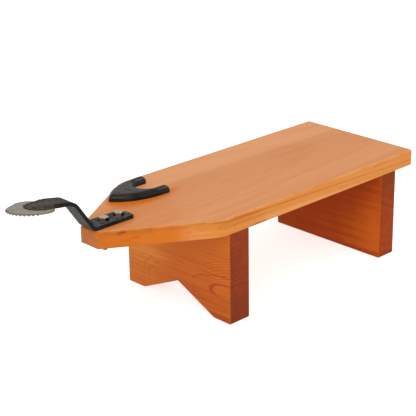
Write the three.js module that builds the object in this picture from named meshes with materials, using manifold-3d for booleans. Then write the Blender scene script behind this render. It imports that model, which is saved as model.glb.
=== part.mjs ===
// A coconut grater: a low wooden bench that its user sits across, with a serrated steel blade
// bolted on its nose and a dark crescent beside it. Millimetres and +Z up. The blade points
// towards -X, and the origin is on the floor under the middle of the overall length and width.

import * as THREE from "three";
import { mergeVertices } from "three/addons/utils/BufferGeometryUtils.js";
import Module from "manifold-3d";

const wasm = await Module();
wasm.setup();

// Driving dimensions

// The seat: one plank that narrows over its front part to the nose.
const seat = {
  length: 450,
  width: 175,
  thickness: 20,
  noseWidth: 29,
  taperLength: 116,
  shoulderRadius: 36,
  flatCornerRadius: 1,
  topRound: 3,
  bottomRound: 1,
};

// Both legs are boards that stand across the seat and reach its full width.
const legs = {
  height: 110,
  round: 1.5,
  flatCornerRadius: 0.5,
  frontBehindTaper: 10.5,
  frontThickness: 31,
  rearInFromEnd: 33,
  rearThickness: 28,
};

// The cut under the front leg is an upside-down V between two feet.
const footCut = { height: 27.5, footWidth: 27, tipRadius: 3, footRadius: 14 };

// Three glued dowels hold each leg up against the seat.
const dowels = { diameter: 10, length: 45, inSeat: 12, inFromSide: 27.5, chamfer: 1 };

// The blade is one forging: a foot plate, a neck that leans forward, and a toothed head.
const blade = {
  thickness: 4.3,
  width: 23.4,
  footLength: 55.6,
  footBendBehindNose: 0.2,
  footBendInside: 6.5,
  neckLean: 55.6,
  neckTopHeight: 39.3,
  neckBendInside: 15.5,
  cornerRadius: 3,
  cornerCutLength: 8,
  cornerCutWidth: 9.5,
};

// The head is a thin plate made of two half ellipses, with teeth round the longer one in front. A
// tongue rises from the plate to a crown as thick as the strap. Angles here and below are in degrees.
const head = {
  centreAheadOfNose: 70.8,
  centreHeight: 45.5,
  tilt: 5.4,
  roll: 2,
  front: 33.25,
  rear: 18,
  widestBehindCentre: 3,
  width: 50,
  rimThickness: 1.2,
  toothCount: 16,
  toothedArc: 144,
  toothDepth: 1.7,
  tongue: { middle: 11, length: 40, width: 32, thickness: 1.5 },
  crown: { middle: 21, length: 24, width: 25 },
};

const bolts = {
  diameter: 6,
  acrossFlats: 10,
  headHeight: 4,
  beyondNut: 4.1,
  firstBehindNose: 21.4,
  spacing: 21,
  headTurns: [37, 51],
};
const nuts = { acrossFlats: 10, height: 5, turns: [0, 25] };
const washers = { diameter: 12, thickness: 1.6 };

// The crescent lies on the seat with its tip forward, and its notch opens to the rear.
const crescent = {
  length: 71,
  width: 54,
  height: 8,
  round: 3.5,
  tipRadius: 4,
  tipHalfAngle: 53,
  prongRadius: 5,
  flatCornerRadius: 0.6,
  notchWidth: 29,
  notchDepth: 30,
  tipAheadOfTaperEnd: 48,
  inFromSeatEdge: 14,
};

// Two countersunk screws come up through the seat into the crescent.
const screws = {
  diameter: 5,
  headDiameter: 9.2,
  headHeight: 2.5,
  inCrescent: 5,
  socketAcrossFlats: 3,
  socketDepth: 1.6,
  behindTip: [13, 27],
};

// The gap left all round between a fastener or dowel and its hole.
const clearance = 0.3;

// Finishes

const finishes = {
  wood: { color: 0xc9823f, roughness: 0.55, metalness: 0 },
  dowel: { color: 0xd9b27a, roughness: 0.7, metalness: 0 },
  forged: { color: 0x3f3c3a, roughness: 0.5, metalness: 0.8 },
  black: { color: 0x1b1a1b, roughness: 0.3, metalness: 0.1 },
  zinc: { color: 0xb5a988, roughness: 0.35, metalness: 0.9 },
};

// Levels and turns that follow from the sizes

const seatTop = legs.height + seat.thickness;
const plateTop = seatTop + blade.thickness;
const legCorner = legs.round + legs.flatCornerRadius;
const boltLength =
  blade.thickness + seat.thickness + washers.thickness + nuts.height + bolts.beyondNut;
const screwLength = seat.thickness + screws.inCrescent;
const radians = THREE.MathUtils.degToRad;

// How finely curves are divided, how far a cutting shape runs past what it cuts, and how close two
// vertices lie to count as one

const ARC_STEP = radians(15);
const ROUND_SIDES = 24;
const HEAD_SIDES = 48;
const SWEEP_STEPS = 12;
const CUT_EXTRA = 5;
const SAME_PLACE = 1e-4;

// Outlines

// The points of a closed outline whose corners, [x, y, radius], are rounded by arcs.
function roundedOutline(corners) {
  const places = corners.map(([x, y]) => new THREE.Vector2(x, y));
  return corners.flatMap(([, , radius], i) => {
    const corner = places[i];
    const back = places.at(i - 1).clone().sub(corner).normalize();
    const on = places[(i + 1) % places.length].clone().sub(corner).normalize();
    const half = Math.acos(THREE.MathUtils.clamp(back.dot(on), -1, 1)) / 2;
    if (!radius || half > Math.PI / 2 - 1e-3) return [corner];
    const centre = back.clone().add(on).setLength(radius / Math.sin(half)).add(corner);
    const first = back.clone().setLength(radius / Math.tan(half)).add(corner).sub(centre);
    const turn = Math.sign(on.cross(back)) * (Math.PI - 2 * half);
    const steps = Math.max(2, Math.ceil(Math.abs(turn) / ARC_STEP));
    const origin = new THREE.Vector2();
    return Array.from({ length: steps + 1 }, (_, k) =>
      first.clone().rotateAround(origin, (turn * k) / steps).add(centre),
    );
  });
}

// The points of an ellipse about (x, y), anticlockwise.
function ellipse(x, y, length, width, count) {
  return Array.from({ length: count }, (_, k) => {
    const angle = (2 * Math.PI * k) / count;
    return new THREE.Vector2(x + (length / 2) * Math.cos(angle), y + (width / 2) * Math.sin(angle));
  });
}

// An anticlockwise outline moved inwards, each point square to its two edges.
function insetOutline(outline, distance) {
  return outline.map((point, i) => {
    const inwards = [outline.at(i - 1), outline[(i + 1) % outline.length]].map((other, side) => {
      const edge = side ? other.clone().sub(point) : point.clone().sub(other);
      return new THREE.Vector2(-edge.y, edge.x).normalize();
    });
    const middle = inwards[0].clone().add(inwards[1]);
    return middle.multiplyScalar(distance / middle.dot(inwards[0])).add(point);
  });
}

// The side view of a flat bar of even thickness whose middle runs through [x, z, radius] points,
// where the radius is that of the arc inside each bend.
function bentBar(line, thickness) {
  const bends = line.map(([x, z, inside]) => [x, z, inside ? inside + thickness / 2 : 0]);
  const middle = roundedOutline(bends);
  const side = (sign) =>
    middle.map((point, i) => {
      const before = middle[Math.max(i - 1, 0)];
      const after = middle[Math.min(i + 1, middle.length - 1)];
      const along = after.clone().sub(before).normalize();
      return new THREE.Vector2(-along.y, along.x).multiplyScalar((sign * thickness) / 2).add(point);
    });
  return [...side(1), ...side(-1).reverse()];
}

// Solids

// A closed solid through outlines of equal length stacked along Z, with flat ends.
function loft(rings, levels) {
  const count = rings[0].length;
  const positions = rings.flatMap((ring, k) => ring.flatMap((p) => [p.x, p.y, levels[k]]));
  const index = [];
  const top = (rings.length - 1) * count;
  THREE.ShapeUtils.triangulateShape(rings[0], []).forEach(([a, b, c]) => index.push(a, c, b));
  THREE.ShapeUtils.triangulateShape(rings.at(-1), []).forEach((face) =>
    index.push(...face.map((v) => v + top)),
  );
  for (let low = 0; low < top; low += count) {
    for (let i = 0; i < count; i++) {
      const a = low + i;
      const b = low + ((i + 1) % count);
      index.push(a, b, b + count, a, b + count, a + count);
    }
  }
  const geometry = new THREE.BufferGeometry();
  geometry.setAttribute("position", new THREE.Float32BufferAttribute(positions, 3));
  return geometry.setIndex(index);
}

// A slab that stands on z = 0, with quarter rounds along its lower and upper rims.
function slab(outline, thickness, lowerRound = 0, upperRound = lowerRound) {
  const plan = THREE.ShapeUtils.isClockWise(outline) ? outline.toReversed() : outline;
  const quarter = (round) => {
    const steps = round ? Math.ceil(Math.PI / 2 / (2 * ARC_STEP)) : 0;
    return Array.from({ length: steps + 1 }, (_, k) => {
      const angle = steps ? (Math.PI / 2) * (k / steps) : Math.PI / 2;
      return [round * (1 - Math.sin(angle)), round * (1 - Math.cos(angle))];
    });
  };
  const levels = [
    ...quarter(lowerRound),
    ...quarter(upperRound).map(([inset, z]) => [inset, thickness - z]).reverse(),
  ];
  return loft(
    levels.map(([inset]) => insetOutline(plan, inset)),
    levels.map(([, z]) => z),
  );
}

// An upright round or many-sided bar from one level to another.
function bar(radius, low, high, sides = ROUND_SIDES) {
  return new THREE.CylinderGeometry(radius, radius, high - low, sides)
    .rotateX(Math.PI / 2)
    .translate(0, 0, (low + high) / 2);
}

// An upright hexagonal bar, turned about its own axis.
function hexBar(acrossFlats, low, high, turn = 0) {
  return bar(acrossFlats / Math.sqrt(3), low, high, 6).rotateZ(radians(turn));
}

// An upright turned piece from [radius, z] points, listed upwards, that starts and ends on the axis.
function turned(profile) {
  const points = profile.map(([radius, z]) => new THREE.Vector2(radius, z));
  return new THREE.LatheGeometry(points, ROUND_SIDES).rotateX(Math.PI / 2);
}

function solidOf(geometry) {
  const bare = geometry.clone();
  bare.deleteAttribute("normal");
  bare.deleteAttribute("uv");
  const merged = mergeVertices(bare, SAME_PLACE);
  const mesh = new wasm.Mesh({
    numProp: 3,
    vertProperties: merged.attributes.position.array,
    triVerts: new Uint32Array(merged.index.array),
  });
  return new wasm.Manifold(mesh);
}

function geometryOf(solid) {
  const mesh = solid.getMesh();
  const geometry = new THREE.BufferGeometry();
  geometry.setAttribute("position", new THREE.BufferAttribute(mesh.vertProperties, 3));
  geometry.setIndex(new THREE.BufferAttribute(mesh.triVerts, 1));
  return geometry;
}

// The first geometry with the others cut out of it.
function cut(geometry, ...tools) {
  return geometryOf(tools.reduce((left, tool) => left.subtract(solidOf(tool)), solidOf(geometry)));
}

function join(...geometries) {
  return geometryOf(geometries.map(solidOf).reduce((all, next) => all.add(next)));
}

function common(...geometries) {
  return geometryOf(geometries.map(solidOf).reduce((all, next) => all.intersect(next)));
}

function piece(name, geometry, finish) {
  geometry.computeVertexNormals();
  const material = new THREE.MeshStandardMaterial({ ...finish, flatShading: true });
  const mesh = new THREE.Mesh(geometry, material);
  mesh.name = name;
  return mesh;
}

// Places shared by the pieces, in the bench's frame: x runs rearwards from the nose

const legPlaces = {
  front: { x: seat.taperLength + legs.frontBehindTaper, thickness: legs.frontThickness },
  rear: {
    x: seat.length - legs.rearInFromEnd - legs.rearThickness,
    thickness: legs.rearThickness,
  },
};
const boltPlaces = [bolts.firstBehindNose, bolts.firstBehindNose + bolts.spacing];
const crescentY = seat.width / 2 - crescent.inFromSeatEdge - crescent.width / 2;
const crescentX = seat.taperLength - crescent.tipAheadOfTaperEnd;
const screwPlaces = screws.behindTip.map((x) => [crescentX + x, crescentY]);

// The three dowel places of one leg.
function dowelPlaces({ x, thickness }) {
  const outer = seat.width / 2 - dowels.inFromSide;
  return [-outer, 0, outer].map((y) => [x + thickness / 2, y]);
}

function dowelHole([x, y]) {
  const low = legs.height + dowels.inSeat - dowels.length - clearance;
  const high = legs.height + dowels.inSeat + clearance;
  return bar(dowels.diameter / 2 + clearance, low, high).translate(x, y, 0);
}

// Wooden pieces

function makeSeat() {
  const half = seat.width / 2;
  const nose = seat.noseWidth / 2;
  const corner = seat.topRound + seat.flatCornerRadius;
  const outline = roundedOutline([
    [0, -nose, corner],
    [seat.taperLength, -half, seat.shoulderRadius],
    [seat.length, -half, corner],
    [seat.length, half, corner],
    [seat.taperLength, half, seat.shoulderRadius],
    [0, nose, corner],
  ]);
  const board = slab(outline, seat.thickness, seat.bottomRound, seat.topRound);
  board.translate(0, 0, legs.height);
  const below = legs.height - CUT_EXTRA;
  const boltHoles = boltPlaces.map((x) =>
    bar(bolts.diameter / 2 + clearance, below, seatTop + CUT_EXTRA).translate(x, 0, 0),
  );
  const screwHoles = screwPlaces.map(([x, y]) => {
    const shank = bar(screws.diameter / 2 + clearance, below, seatTop + CUT_EXTRA);
    return join(shank, countersink()).translate(x, y, 0);
  });
  const dowelHoles = Object.values(legPlaces).flatMap(dowelPlaces).map(dowelHole);
  return cut(board, ...boltHoles, ...screwHoles, ...dowelHoles);
}

// The cone in the seat's underside that takes a screw's head.
function countersink() {
  const wide = screws.headDiameter / 2 + clearance;
  const narrow = screws.diameter / 2 + clearance;
  const low = legs.height;
  return turned([
    [0, low - CUT_EXTRA],
    [wide, low - CUT_EXTRA],
    [wide, low + clearance],
    [narrow, low + screws.headHeight + clearance],
    [0, low + screws.headHeight + clearance],
  ]);
}

// A leg from its front view, [y, z, radius] points, with its front face at the place's x.
function makeLeg(place, corners) {
  const board = slab(roundedOutline(corners), place.thickness, legs.round);
  const axes = [new THREE.Vector3(0, 1, 0), new THREE.Vector3(0, 0, 1), new THREE.Vector3(1, 0, 0)];
  board.applyMatrix4(new THREE.Matrix4().makeBasis(...axes)).translate(place.x, 0, 0);
  return cut(board, ...dowelPlaces(place).map(dowelHole));
}

function makeFrontLeg() {
  const half = seat.width / 2;
  const cutHalf = half - footCut.footWidth;
  return makeLeg(legPlaces.front, [
    [-half, legs.height, 0],
    [-half, 0, legCorner],
    [-cutHalf, 0, footCut.footRadius],
    [0, footCut.height, footCut.tipRadius],
    [cutHalf, 0, footCut.footRadius],
    [half, 0, legCorner],
    [half, legs.height, 0],
  ]);
}

function makeRearLeg() {
  const half = seat.width / 2;
  return makeLeg(legPlaces.rear, [
    [-half, legs.height, 0],
    [-half, 0, legCorner],
    [half, 0, legCorner],
    [half, legs.height, 0],
  ]);
}

function makeDowel([x, y]) {
  const radius = dowels.diameter / 2;
  const high = legs.height + dowels.inSeat;
  const low = high - dowels.length;
  return turned([
    [0, low],
    [radius - dowels.chamfer, low],
    [radius, low + dowels.chamfer],
    [radius, high - dowels.chamfer],
    [radius - dowels.chamfer, high],
    [0, high],
  ]).translate(x, y, 0);
}

// The blade

// The strap's side view runs along the seat, up the neck and on to the head, where it ends round
// on the crown.
function makeStrap(headCentre) {
  const low = blade.thickness / 2;
  const neckRise = blade.neckTopHeight - low;
  const neckTop = blade.footBendBehindNose - neckRise / Math.tan(radians(blade.neckLean));
  const line = [
    [blade.footLength, low, 0],
    [blade.footBendBehindNose, low, blade.footBendInside],
    [neckTop, blade.neckTopHeight, blade.neckBendInside],
    [headCentre.x, head.centreHeight, 0],
  ];
  const side = bentBar(line, blade.thickness);
  const axes = [new THREE.Vector3(1, 0, 0), new THREE.Vector3(0, 0, 1), new THREE.Vector3(0, -1, 0)];
  const wide = slab(side, 2 * blade.width).applyMatrix4(new THREE.Matrix4().makeBasis(...axes));
  wide.translate(0, blade.width, seatTop);
  const half = blade.width / 2;
  const endRadius = 0.98 * half;
  const end = headCentre.x + head.crown.middle - endRadius;
  const plan = roundedOutline([
    [end, -half, endRadius],
    [blade.footLength, -half, blade.cornerRadius],
    [blade.footLength, half - blade.cornerCutWidth, 0],
    [blade.footLength - blade.cornerCutLength, half, 0],
    [end, half, endRadius],
  ]);
  const tall = slab(plan, 2 * blade.neckTopHeight).translate(0, 0, seatTop - CUT_EXTRA);
  return common(wide, tall);
}

// The point of the head's plan at an angle from the tip, towards -X, and a depth in from the rim.
function headPoint(angle, depth) {
  const reach = Math.cos(angle) > 0 ? head.front : head.rear;
  return new THREE.Vector2(
    head.widestBehindCentre - (reach - depth) * Math.cos(angle),
    -(head.width / 2 - depth) * Math.sin(angle),
  );
}

// The head's plan: teeth round the tip and a plain curve behind them.
function toothedOutline() {
  const arc = radians(head.toothedArc);
  const steps = 2 * head.toothCount;
  const toothed = Array.from({ length: steps + 1 }, (_, k) =>
    headPoint(arc * (k / steps - 0.5), k % 2 ? 0 : head.toothDepth),
  );
  const plainArc = 2 * Math.PI - arc;
  const plainSteps = Math.ceil((2 * plainArc) / ARC_STEP);
  const plain = Array.from({ length: plainSteps - 1 }, (_, k) =>
    headPoint(arc / 2 + (plainArc * (k + 1)) / plainSteps, 0),
  );
  return [...toothed, ...plain];
}

// The head lies on its own z = 0 plane. The tongue's foot and the crown are ellipses.
function makeHead() {
  const spare = 1;
  const { tongue, crown } = head;
  const rim = Array.from({ length: HEAD_SIDES }, (_, k) =>
    headPoint((2 * Math.PI * k) / HEAD_SIDES - Math.PI, -spare),
  );
  const foot = ellipse(tongue.middle, 0, tongue.length, tongue.width, HEAD_SIDES);
  const top = ellipse(crown.middle, 0, crown.length, crown.width, HEAD_SIDES);
  const risen = loft(
    [rim, rim, foot, top, top],
    [-spare, head.rimThickness, tongue.thickness, blade.thickness, blade.thickness + spare],
  );
  return common(slab(toothedOutline(), blade.thickness), risen);
}

function makeBlade() {
  const centre = new THREE.Vector3(-head.centreAheadOfNose, 0, seatTop + head.centreHeight);
  const plate = makeHead()
    .translate(0, 0, -blade.thickness / 2)
    .rotateX(radians(-head.roll))
    .rotateY(radians(head.tilt))
    .translate(centre.x, 0, centre.z);
  const holes = boltPlaces.map((x) =>
    bar(bolts.diameter / 2 + clearance, seatTop - CUT_EXTRA, plateTop + CUT_EXTRA).translate(x, 0, 0),
  );
  return cut(join(makeStrap(centre), plate), ...holes);
}

// Fasteners

function makeBolt(x, turn) {
  const headLow = plateTop;
  const shank = bar(bolts.diameter / 2, headLow - boltLength, headLow);
  const hex = hexBar(bolts.acrossFlats, headLow, headLow + bolts.headHeight, turn);
  return join(shank, hex).translate(x, 0, 0);
}

function makeWasher(x) {
  const low = legs.height - washers.thickness;
  const hole = bar(bolts.diameter / 2 + clearance, low - CUT_EXTRA, legs.height + CUT_EXTRA);
  return cut(bar(washers.diameter / 2, low, legs.height), hole).translate(x, 0, 0);
}

function makeNut(x, turn) {
  const high = legs.height - washers.thickness;
  const low = high - nuts.height;
  const hole = bar(bolts.diameter / 2 + clearance, low - CUT_EXTRA, high + CUT_EXTRA);
  return cut(hexBar(nuts.acrossFlats, low, high, turn), hole).translate(x, 0, 0);
}

function makeScrew([x, y]) {
  const low = legs.height;
  const wide = screws.headDiameter / 2;
  const narrow = screws.diameter / 2;
  const body = turned([
    [0, low],
    [wide, low],
    [narrow, low + screws.headHeight],
    [narrow, low + screwLength],
    [0, low + screwLength],
  ]);
  const socket = hexBar(screws.socketAcrossFlats, low - CUT_EXTRA, low + screws.socketDepth);
  return cut(body, socket).translate(x, y, 0);
}

// The crescent

// Its plan, with the tip at the origin: each side leaves the round tip and sweeps back in one
// curve, and the notch ends in a half circle.
function crescentOutline() {
  const half = crescent.width / 2;
  const notch = crescent.notchWidth / 2;
  const end = crescent.length;
  const notchCentre = end - crescent.notchDepth + notch;
  const lean = radians(crescent.tipHalfAngle);
  const onTip = (angle) =>
    new THREE.Vector2(1 - Math.sin(angle), Math.cos(angle)).multiplyScalar(crescent.tipRadius);
  const start = onTip(lean);
  const shoulder = start.x + (half - start.y) / Math.tan(lean);
  const sweep = new THREE.QuadraticBezierCurve(
    start,
    new THREE.Vector2(shoulder, half),
    new THREE.Vector2(end - crescent.prongRadius, half),
  ).getPoints(SWEEP_STEPS);
  const prong = roundedOutline([
    [end - half, half, 0],
    [end, half, crescent.prongRadius],
    [end, notch, crescent.round + crescent.flatCornerRadius],
    [notchCentre, notch, 0],
  ]).slice(1, -1);
  const roundSteps = ROUND_SIDES / 4;
  const round = Array.from({ length: roundSteps + 1 }, (_, k) => {
    const angle = (Math.PI / 2) * (1 + k / roundSteps);
    return new THREE.Vector2(notchCentre + notch * Math.cos(angle), notch * Math.sin(angle));
  });
  const upper = [onTip((lean + Math.PI / 2) / 2), ...sweep, ...prong.slice(1), ...round];
  const lower = upper.slice(0, -1).map((p) => new THREE.Vector2(p.x, -p.y));
  return [new THREE.Vector2(0, 0), ...lower, ...upper.reverse()];
}

function makeCrescent() {
  const body = slab(crescentOutline(), crescent.height, 0, crescent.round);
  body.translate(crescentX, crescentY, seatTop);
  const top = legs.height + screwLength + clearance;
  const holes = screwPlaces.map(([x, y]) =>
    bar(screws.diameter / 2 + clearance, seatTop - CUT_EXTRA, top).translate(x, y, 0),
  );
  return cut(body, ...holes);
}

// The whole grater

const bench = new THREE.Group();
bench.add(
  piece("seat_plank", makeSeat(), finishes.wood),
  piece("front_leg", makeFrontLeg(), finishes.wood),
  piece("rear_leg", makeRearLeg(), finishes.wood),
  piece("scraper_blade", makeBlade(), finishes.forged),
  piece("crescent_stop", makeCrescent(), finishes.black),
);
for (const [side, place] of Object.entries(legPlaces)) {
  dowelPlaces(place).forEach((at, i) =>
    bench.add(piece(`${side}_leg_dowel_${i + 1}`, makeDowel(at), finishes.dowel)),
  );
}
["front", "rear"].forEach((side, i) => {
  bench.add(
    piece(`blade_bolt_${side}`, makeBolt(boltPlaces[i], bolts.headTurns[i]), finishes.zinc),
    piece(`blade_washer_${side}`, makeWasher(boltPlaces[i]), finishes.zinc),
    piece(`blade_nut_${side}`, makeNut(boltPlaces[i], nuts.turns[i]), finishes.zinc),
    piece(`crescent_screw_${side}`, makeScrew(screwPlaces[i]), finishes.black),
  );
});

const extent = new THREE.Box3().setFromObject(bench, true);
bench.position.x = -(extent.min.x + extent.max.x) / 2;

const grater = new THREE.Group();
grater.add(bench);

export default grater;
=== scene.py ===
"""Dresses the coconut grater: its bench of varnished boards, forged blade, black crescent and plated bolts."""

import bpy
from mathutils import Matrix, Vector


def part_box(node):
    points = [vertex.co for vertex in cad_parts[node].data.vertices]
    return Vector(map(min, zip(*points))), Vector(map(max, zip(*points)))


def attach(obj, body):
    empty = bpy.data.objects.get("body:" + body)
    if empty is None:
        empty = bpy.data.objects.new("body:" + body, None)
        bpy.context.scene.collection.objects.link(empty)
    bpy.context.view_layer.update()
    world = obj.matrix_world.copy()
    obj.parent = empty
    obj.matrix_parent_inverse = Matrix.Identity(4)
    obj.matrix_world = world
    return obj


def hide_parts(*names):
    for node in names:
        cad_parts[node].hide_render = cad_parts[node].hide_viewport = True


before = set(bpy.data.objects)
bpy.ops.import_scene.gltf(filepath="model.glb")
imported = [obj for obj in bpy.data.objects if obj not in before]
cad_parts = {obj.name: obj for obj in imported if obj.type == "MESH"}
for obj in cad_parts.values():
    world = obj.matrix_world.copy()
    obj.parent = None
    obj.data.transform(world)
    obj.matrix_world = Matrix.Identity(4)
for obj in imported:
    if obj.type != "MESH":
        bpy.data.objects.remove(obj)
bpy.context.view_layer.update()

import logging
from dataclasses import dataclass, field
from enum import Enum
from math import cos, pi, radians, sin, tan

import bmesh
import bpy
import numpy as np
from mathutils import Matrix, Vector
from mathutils.geometry import delaunay_2d_cdt

log = logging.getLogger("grater")
MM = 0.001
CREASE = 32.0
Array = np.ndarray
Piece = bpy.types.Object
Colour = tuple[float, float, float]
Place = tuple[float, float, float]
TO_REAR, TO_FAR, TO_NEAR, UP = (1.0, 0.0, 0.0), (0.0, 1.0, 0.0), (0.0, -1.0, 0.0), (0.0, 0.0, 1.0)
BOLTS = ("blade_bolt_front", "blade_bolt_rear")
SCREWS = ("crescent_screw_front", "crescent_screw_rear")


class Grain(Enum):
    """Which way a board's grain runs."""

    ALONG_SEAT = (1.0, 0.0, 0.0)
    ACROSS_SEAT = (0.0, 1.0, 0.0)
    UPRIGHT = (0.0, 0.0, 1.0)


class Slot(Enum):
    """The record's material slots."""

    WOOD = "wood"
    DARK_WOOD = "dark_wood"
    DOWEL_WOOD = "dowel_wood"
    FORGED_STEEL = "forged_steel"
    BLACK_IRON = "black_iron"
    ZINC = "zinc"
    BLACK_SCREWS = "black_screws"


class Ends(Enum):
    """How a stack of rings is closed."""

    FLAT = "a flat face at each end"
    DRAWN_IN = "each end drawn in to its middle"
    JOINED = "the last ring joined to the first"


class Change(Enum):
    """What other shapes do to a piece."""

    ADD = "UNION"
    CUT = "DIFFERENCE"


class Noise(Enum):
    """The finishes' noises: scale, detail and roughness."""

    DRIFT = (14.0, 2.0, 0.5)
    CLOUD = (26.0, 3.0, 0.6)
    FIBRE = (900.0, 3.0, 0.6)
    PORES = (1500.0, 1.0, 0.5)
    FLECKS = (430.0, 2.0, 0.6)
    FIGURE = (210.0, 4.0, 0.6)
    END_BLOTCHES = (60.0, 4.0, 0.65)
    CRACKS = (620.0, 3.0, 0.6)
    KNOT = (300.0, 3.0, 0.5)
    EDGE_LIGHT_PATCHES = (45.0, 3.0, 0.6)
    PITS = (260.0, 4.0, 0.6)
    WOBBLE = (130.0, 3.0, 0.5)
    MOTTLES = (110.0, 5.0, 0.65)
    BEATEN = (1.0, 3.0, 0.6)
    SCRATCHES = (1.0, 4.0, 0.65)
    DULL = (170.0, 3.0, 0.5)
    PLATE_BLOTCHES = (300.0, 4.0, 0.6)
    PAINT_CLOUD = (60.0, 4.0, 0.6)
    ORANGE_PEEL = (900.0, 2.0, 0.5)
    PLATING = (500.0, 4.0, 0.6)
    FLOOR = (6.0, 3.0, 0.5)


# Meshes


def ring_faces(rings: int, around: int, closed: bool = False) -> list[list[int]]:
    """Four-sided faces that join each ring of points to the next, and each point to its neighbour.

    Args:
        rings: how many rings there are.
        around: how many points each ring has.
        closed: whether the last ring also joins the first.

    Returns:
        The faces as lists of point numbers.
    """
    row = np.arange(rings if closed else rings - 1)[:, None]
    here = np.arange(around)[None]
    beside = (here + 1) % around
    above = (row + 1) % rings
    corners = [row * around + here, row * around + beside, above * around + beside, above * around + here]
    return np.stack(corners, -1).reshape(-1, 4).tolist()


def soften(piece: Piece, crease: float) -> None:
    """Shades a piece smooth except where faces meet at more than the crease angle, in degrees."""
    piece.data.shade_smooth()
    piece.data.set_sharp_from_angle(angle=radians(crease))


def closed_piece(name: str, points: Array, faces: list[list[int]], crease: float = CREASE) -> Piece:
    """A mesh object from points and faces, merged, turned outwards and smooth but for its creases.

    Args:
        name: the piece's name.
        points: its points, in metres.
        faces: lists of point numbers.
        crease: the angle in degrees past which an edge stays sharp.

    Returns:
        The object, at the origin.
    """
    mesh = bpy.data.meshes.new(name)
    mesh.from_pydata(np.asarray(points).reshape(-1, 3).tolist(), [], faces)
    surface = bmesh.new()
    surface.from_mesh(mesh)
    bmesh.ops.remove_doubles(surface, verts=surface.verts, dist=1e-7)
    bmesh.ops.recalc_face_normals(surface, faces=surface.faces)
    surface.to_mesh(mesh)
    surface.free()
    piece = bpy.data.objects.new(name, mesh)
    bpy.context.scene.collection.objects.link(piece)
    soften(piece, crease)
    return piece


def stacked(name: str, rings: Array, ends: Ends = Ends.FLAT, crease: float = CREASE) -> Piece:
    """A closed piece through a stack of rings.

    Args:
        name: the piece's name.
        rings: an array of rings x points x 3.
        ends: how the stack is closed.
        crease: the angle in degrees past which an edge stays sharp.

    Returns:
        The piece.
    """
    if ends is Ends.DRAWN_IN:
        middles = rings[[0, -1]].mean(1, keepdims=True) + 0 * rings[:1]
        rings = np.concatenate([middles[:1], rings, middles[1:]])
    count, around = rings.shape[:2]
    faces = ring_faces(count, around, ends is Ends.JOINED)
    if ends is Ends.FLAT:
        last = (count - 1) * around
        faces += [list(range(around)), list(range(last, last + around))]
    return closed_piece(name, rings, faces, crease)


def reshaped(piece: Piece, others: list[Piece], change: Change, crease: float = CREASE) -> Piece:
    """Joins closed shapes to a piece or cuts them out of it, and takes the shapes away.

    Args:
        piece: the piece that changes.
        others: the closed shapes.
        change: what they do to it.
        crease: the angle in degrees past which an edge stays sharp.

    Returns:
        The same piece.
    """
    for other in others:
        modifier = piece.modifiers.new("shape", "BOOLEAN")
        modifier.operation, modifier.solver, modifier.object = change.value, "EXACT", other
    made = bpy.data.meshes.new_from_object(piece.evaluated_get(bpy.context.evaluated_depsgraph_get()))
    piece.modifiers.clear()
    piece.data = made
    for other in others:
        bpy.data.objects.remove(other)
    soften(piece, crease)
    return piece


def rounded_outline(corners: list[tuple[float, float, float]], step: float = 4.0) -> Array:
    """An outline whose corners are rounded: each arc's centre lies on the line that halves the corner.

    Args:
        corners: x, y and radius of each corner, where a radius of 0 stays sharp.
        step: degrees of arc between points.

    Returns:
        The points, in the corners' order.
    """
    places = np.array(corners, float)
    arcs = []
    for before, (x, y, radius), after in zip(np.roll(places, 1, 0), places, np.roll(places, -1, 0)):
        corner = np.array([x, y])
        if radius == 0:
            arcs.append(corner[None])
            continue
        back, on = before[:2] - corner, after[:2] - corner
        back, on = back / np.linalg.norm(back), on / np.linalg.norm(on)
        half = np.arccos(np.clip(back @ on, -1, 1)) / 2
        middle = back + on
        centre = corner + middle / np.linalg.norm(middle) * radius / sin(half)
        first = corner + back * radius / tan(half) - centre
        turn = np.sign(on[0] * back[1] - on[1] * back[0]) * (pi - 2 * half)
        angle = np.linspace(0, turn, max(2, round(abs(turn) / radians(step))) + 1)
        arcs.append(centre + np.stack([first[0] * np.cos(angle) - first[1] * np.sin(angle),
                                       first[0] * np.sin(angle) + first[1] * np.cos(angle)], -1))
    return np.concatenate(arcs)


def inset(outline: Array, distance: float) -> Array:
    """An outline moved inwards, each point along the line that halves its corner.

    Args:
        outline: anticlockwise points.
        distance: how far each edge moves.

    Returns:
        The moved points.
    """
    edge = np.roll(outline, -1, 0) - outline
    inwards = np.stack([-edge[:, 1], edge[:, 0]], -1)
    inwards /= np.linalg.norm(inwards, axis=1, keepdims=True)
    before = np.roll(inwards, 1, 0)
    middle = before + inwards
    return outline + middle * distance / (middle * before).sum(1, keepdims=True)


def board_rings(outline: Array, thickness: float, low_round: float, high_round: float) -> Array:
    """Rings of a board: inset by r(1 - cos a) at r(1 - sin a) from each face, for a over a quarter turn.

    Args:
        outline: anticlockwise points.
        thickness: the board's thickness.
        low_round: radius along the lower rim.
        high_round: radius along the upper rim.

    Returns:
        An array of rings x points x 3, in the board's own frame, standing on z = 0.
    """
    support = 0.35 * MM
    angle = np.linspace(pi / 2, 0, 9)
    low = np.stack([low_round * (1 - np.cos(angle)), low_round * (1 - np.sin(angle))], -1)
    high = np.stack([high_round * (1 - np.cos(angle)), thickness - high_round * (1 - np.sin(angle))], -1)[::-1]
    levels = np.concatenate([[[low_round + support, 0]], low, high, [[high_round + support, thickness]]])
    return np.stack([np.column_stack([inset(outline, move), np.full(len(outline), z)]) for move, z in levels])


def turned(levels: list[tuple[Array | float, Array | float]], angle: Array | int) -> Array:
    """Rings about the z axis: the radius times the cosine and sine of the angle, at the level's height.

    Args:
        levels: each ring's radius and height, as numbers or as arrays over the angles.
        angle: the angles, or how many there are in a full turn.

    Returns:
        An array of rings x points x 3.
    """
    if isinstance(angle, int):
        angle = np.linspace(0, 2 * pi, angle, endpoint=False)
    radius, z = (np.stack([part + 0 * angle for part in parts]) for parts in zip(*levels))
    return np.stack([radius * np.cos(angle), radius * np.sin(angle), z], -1)


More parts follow.
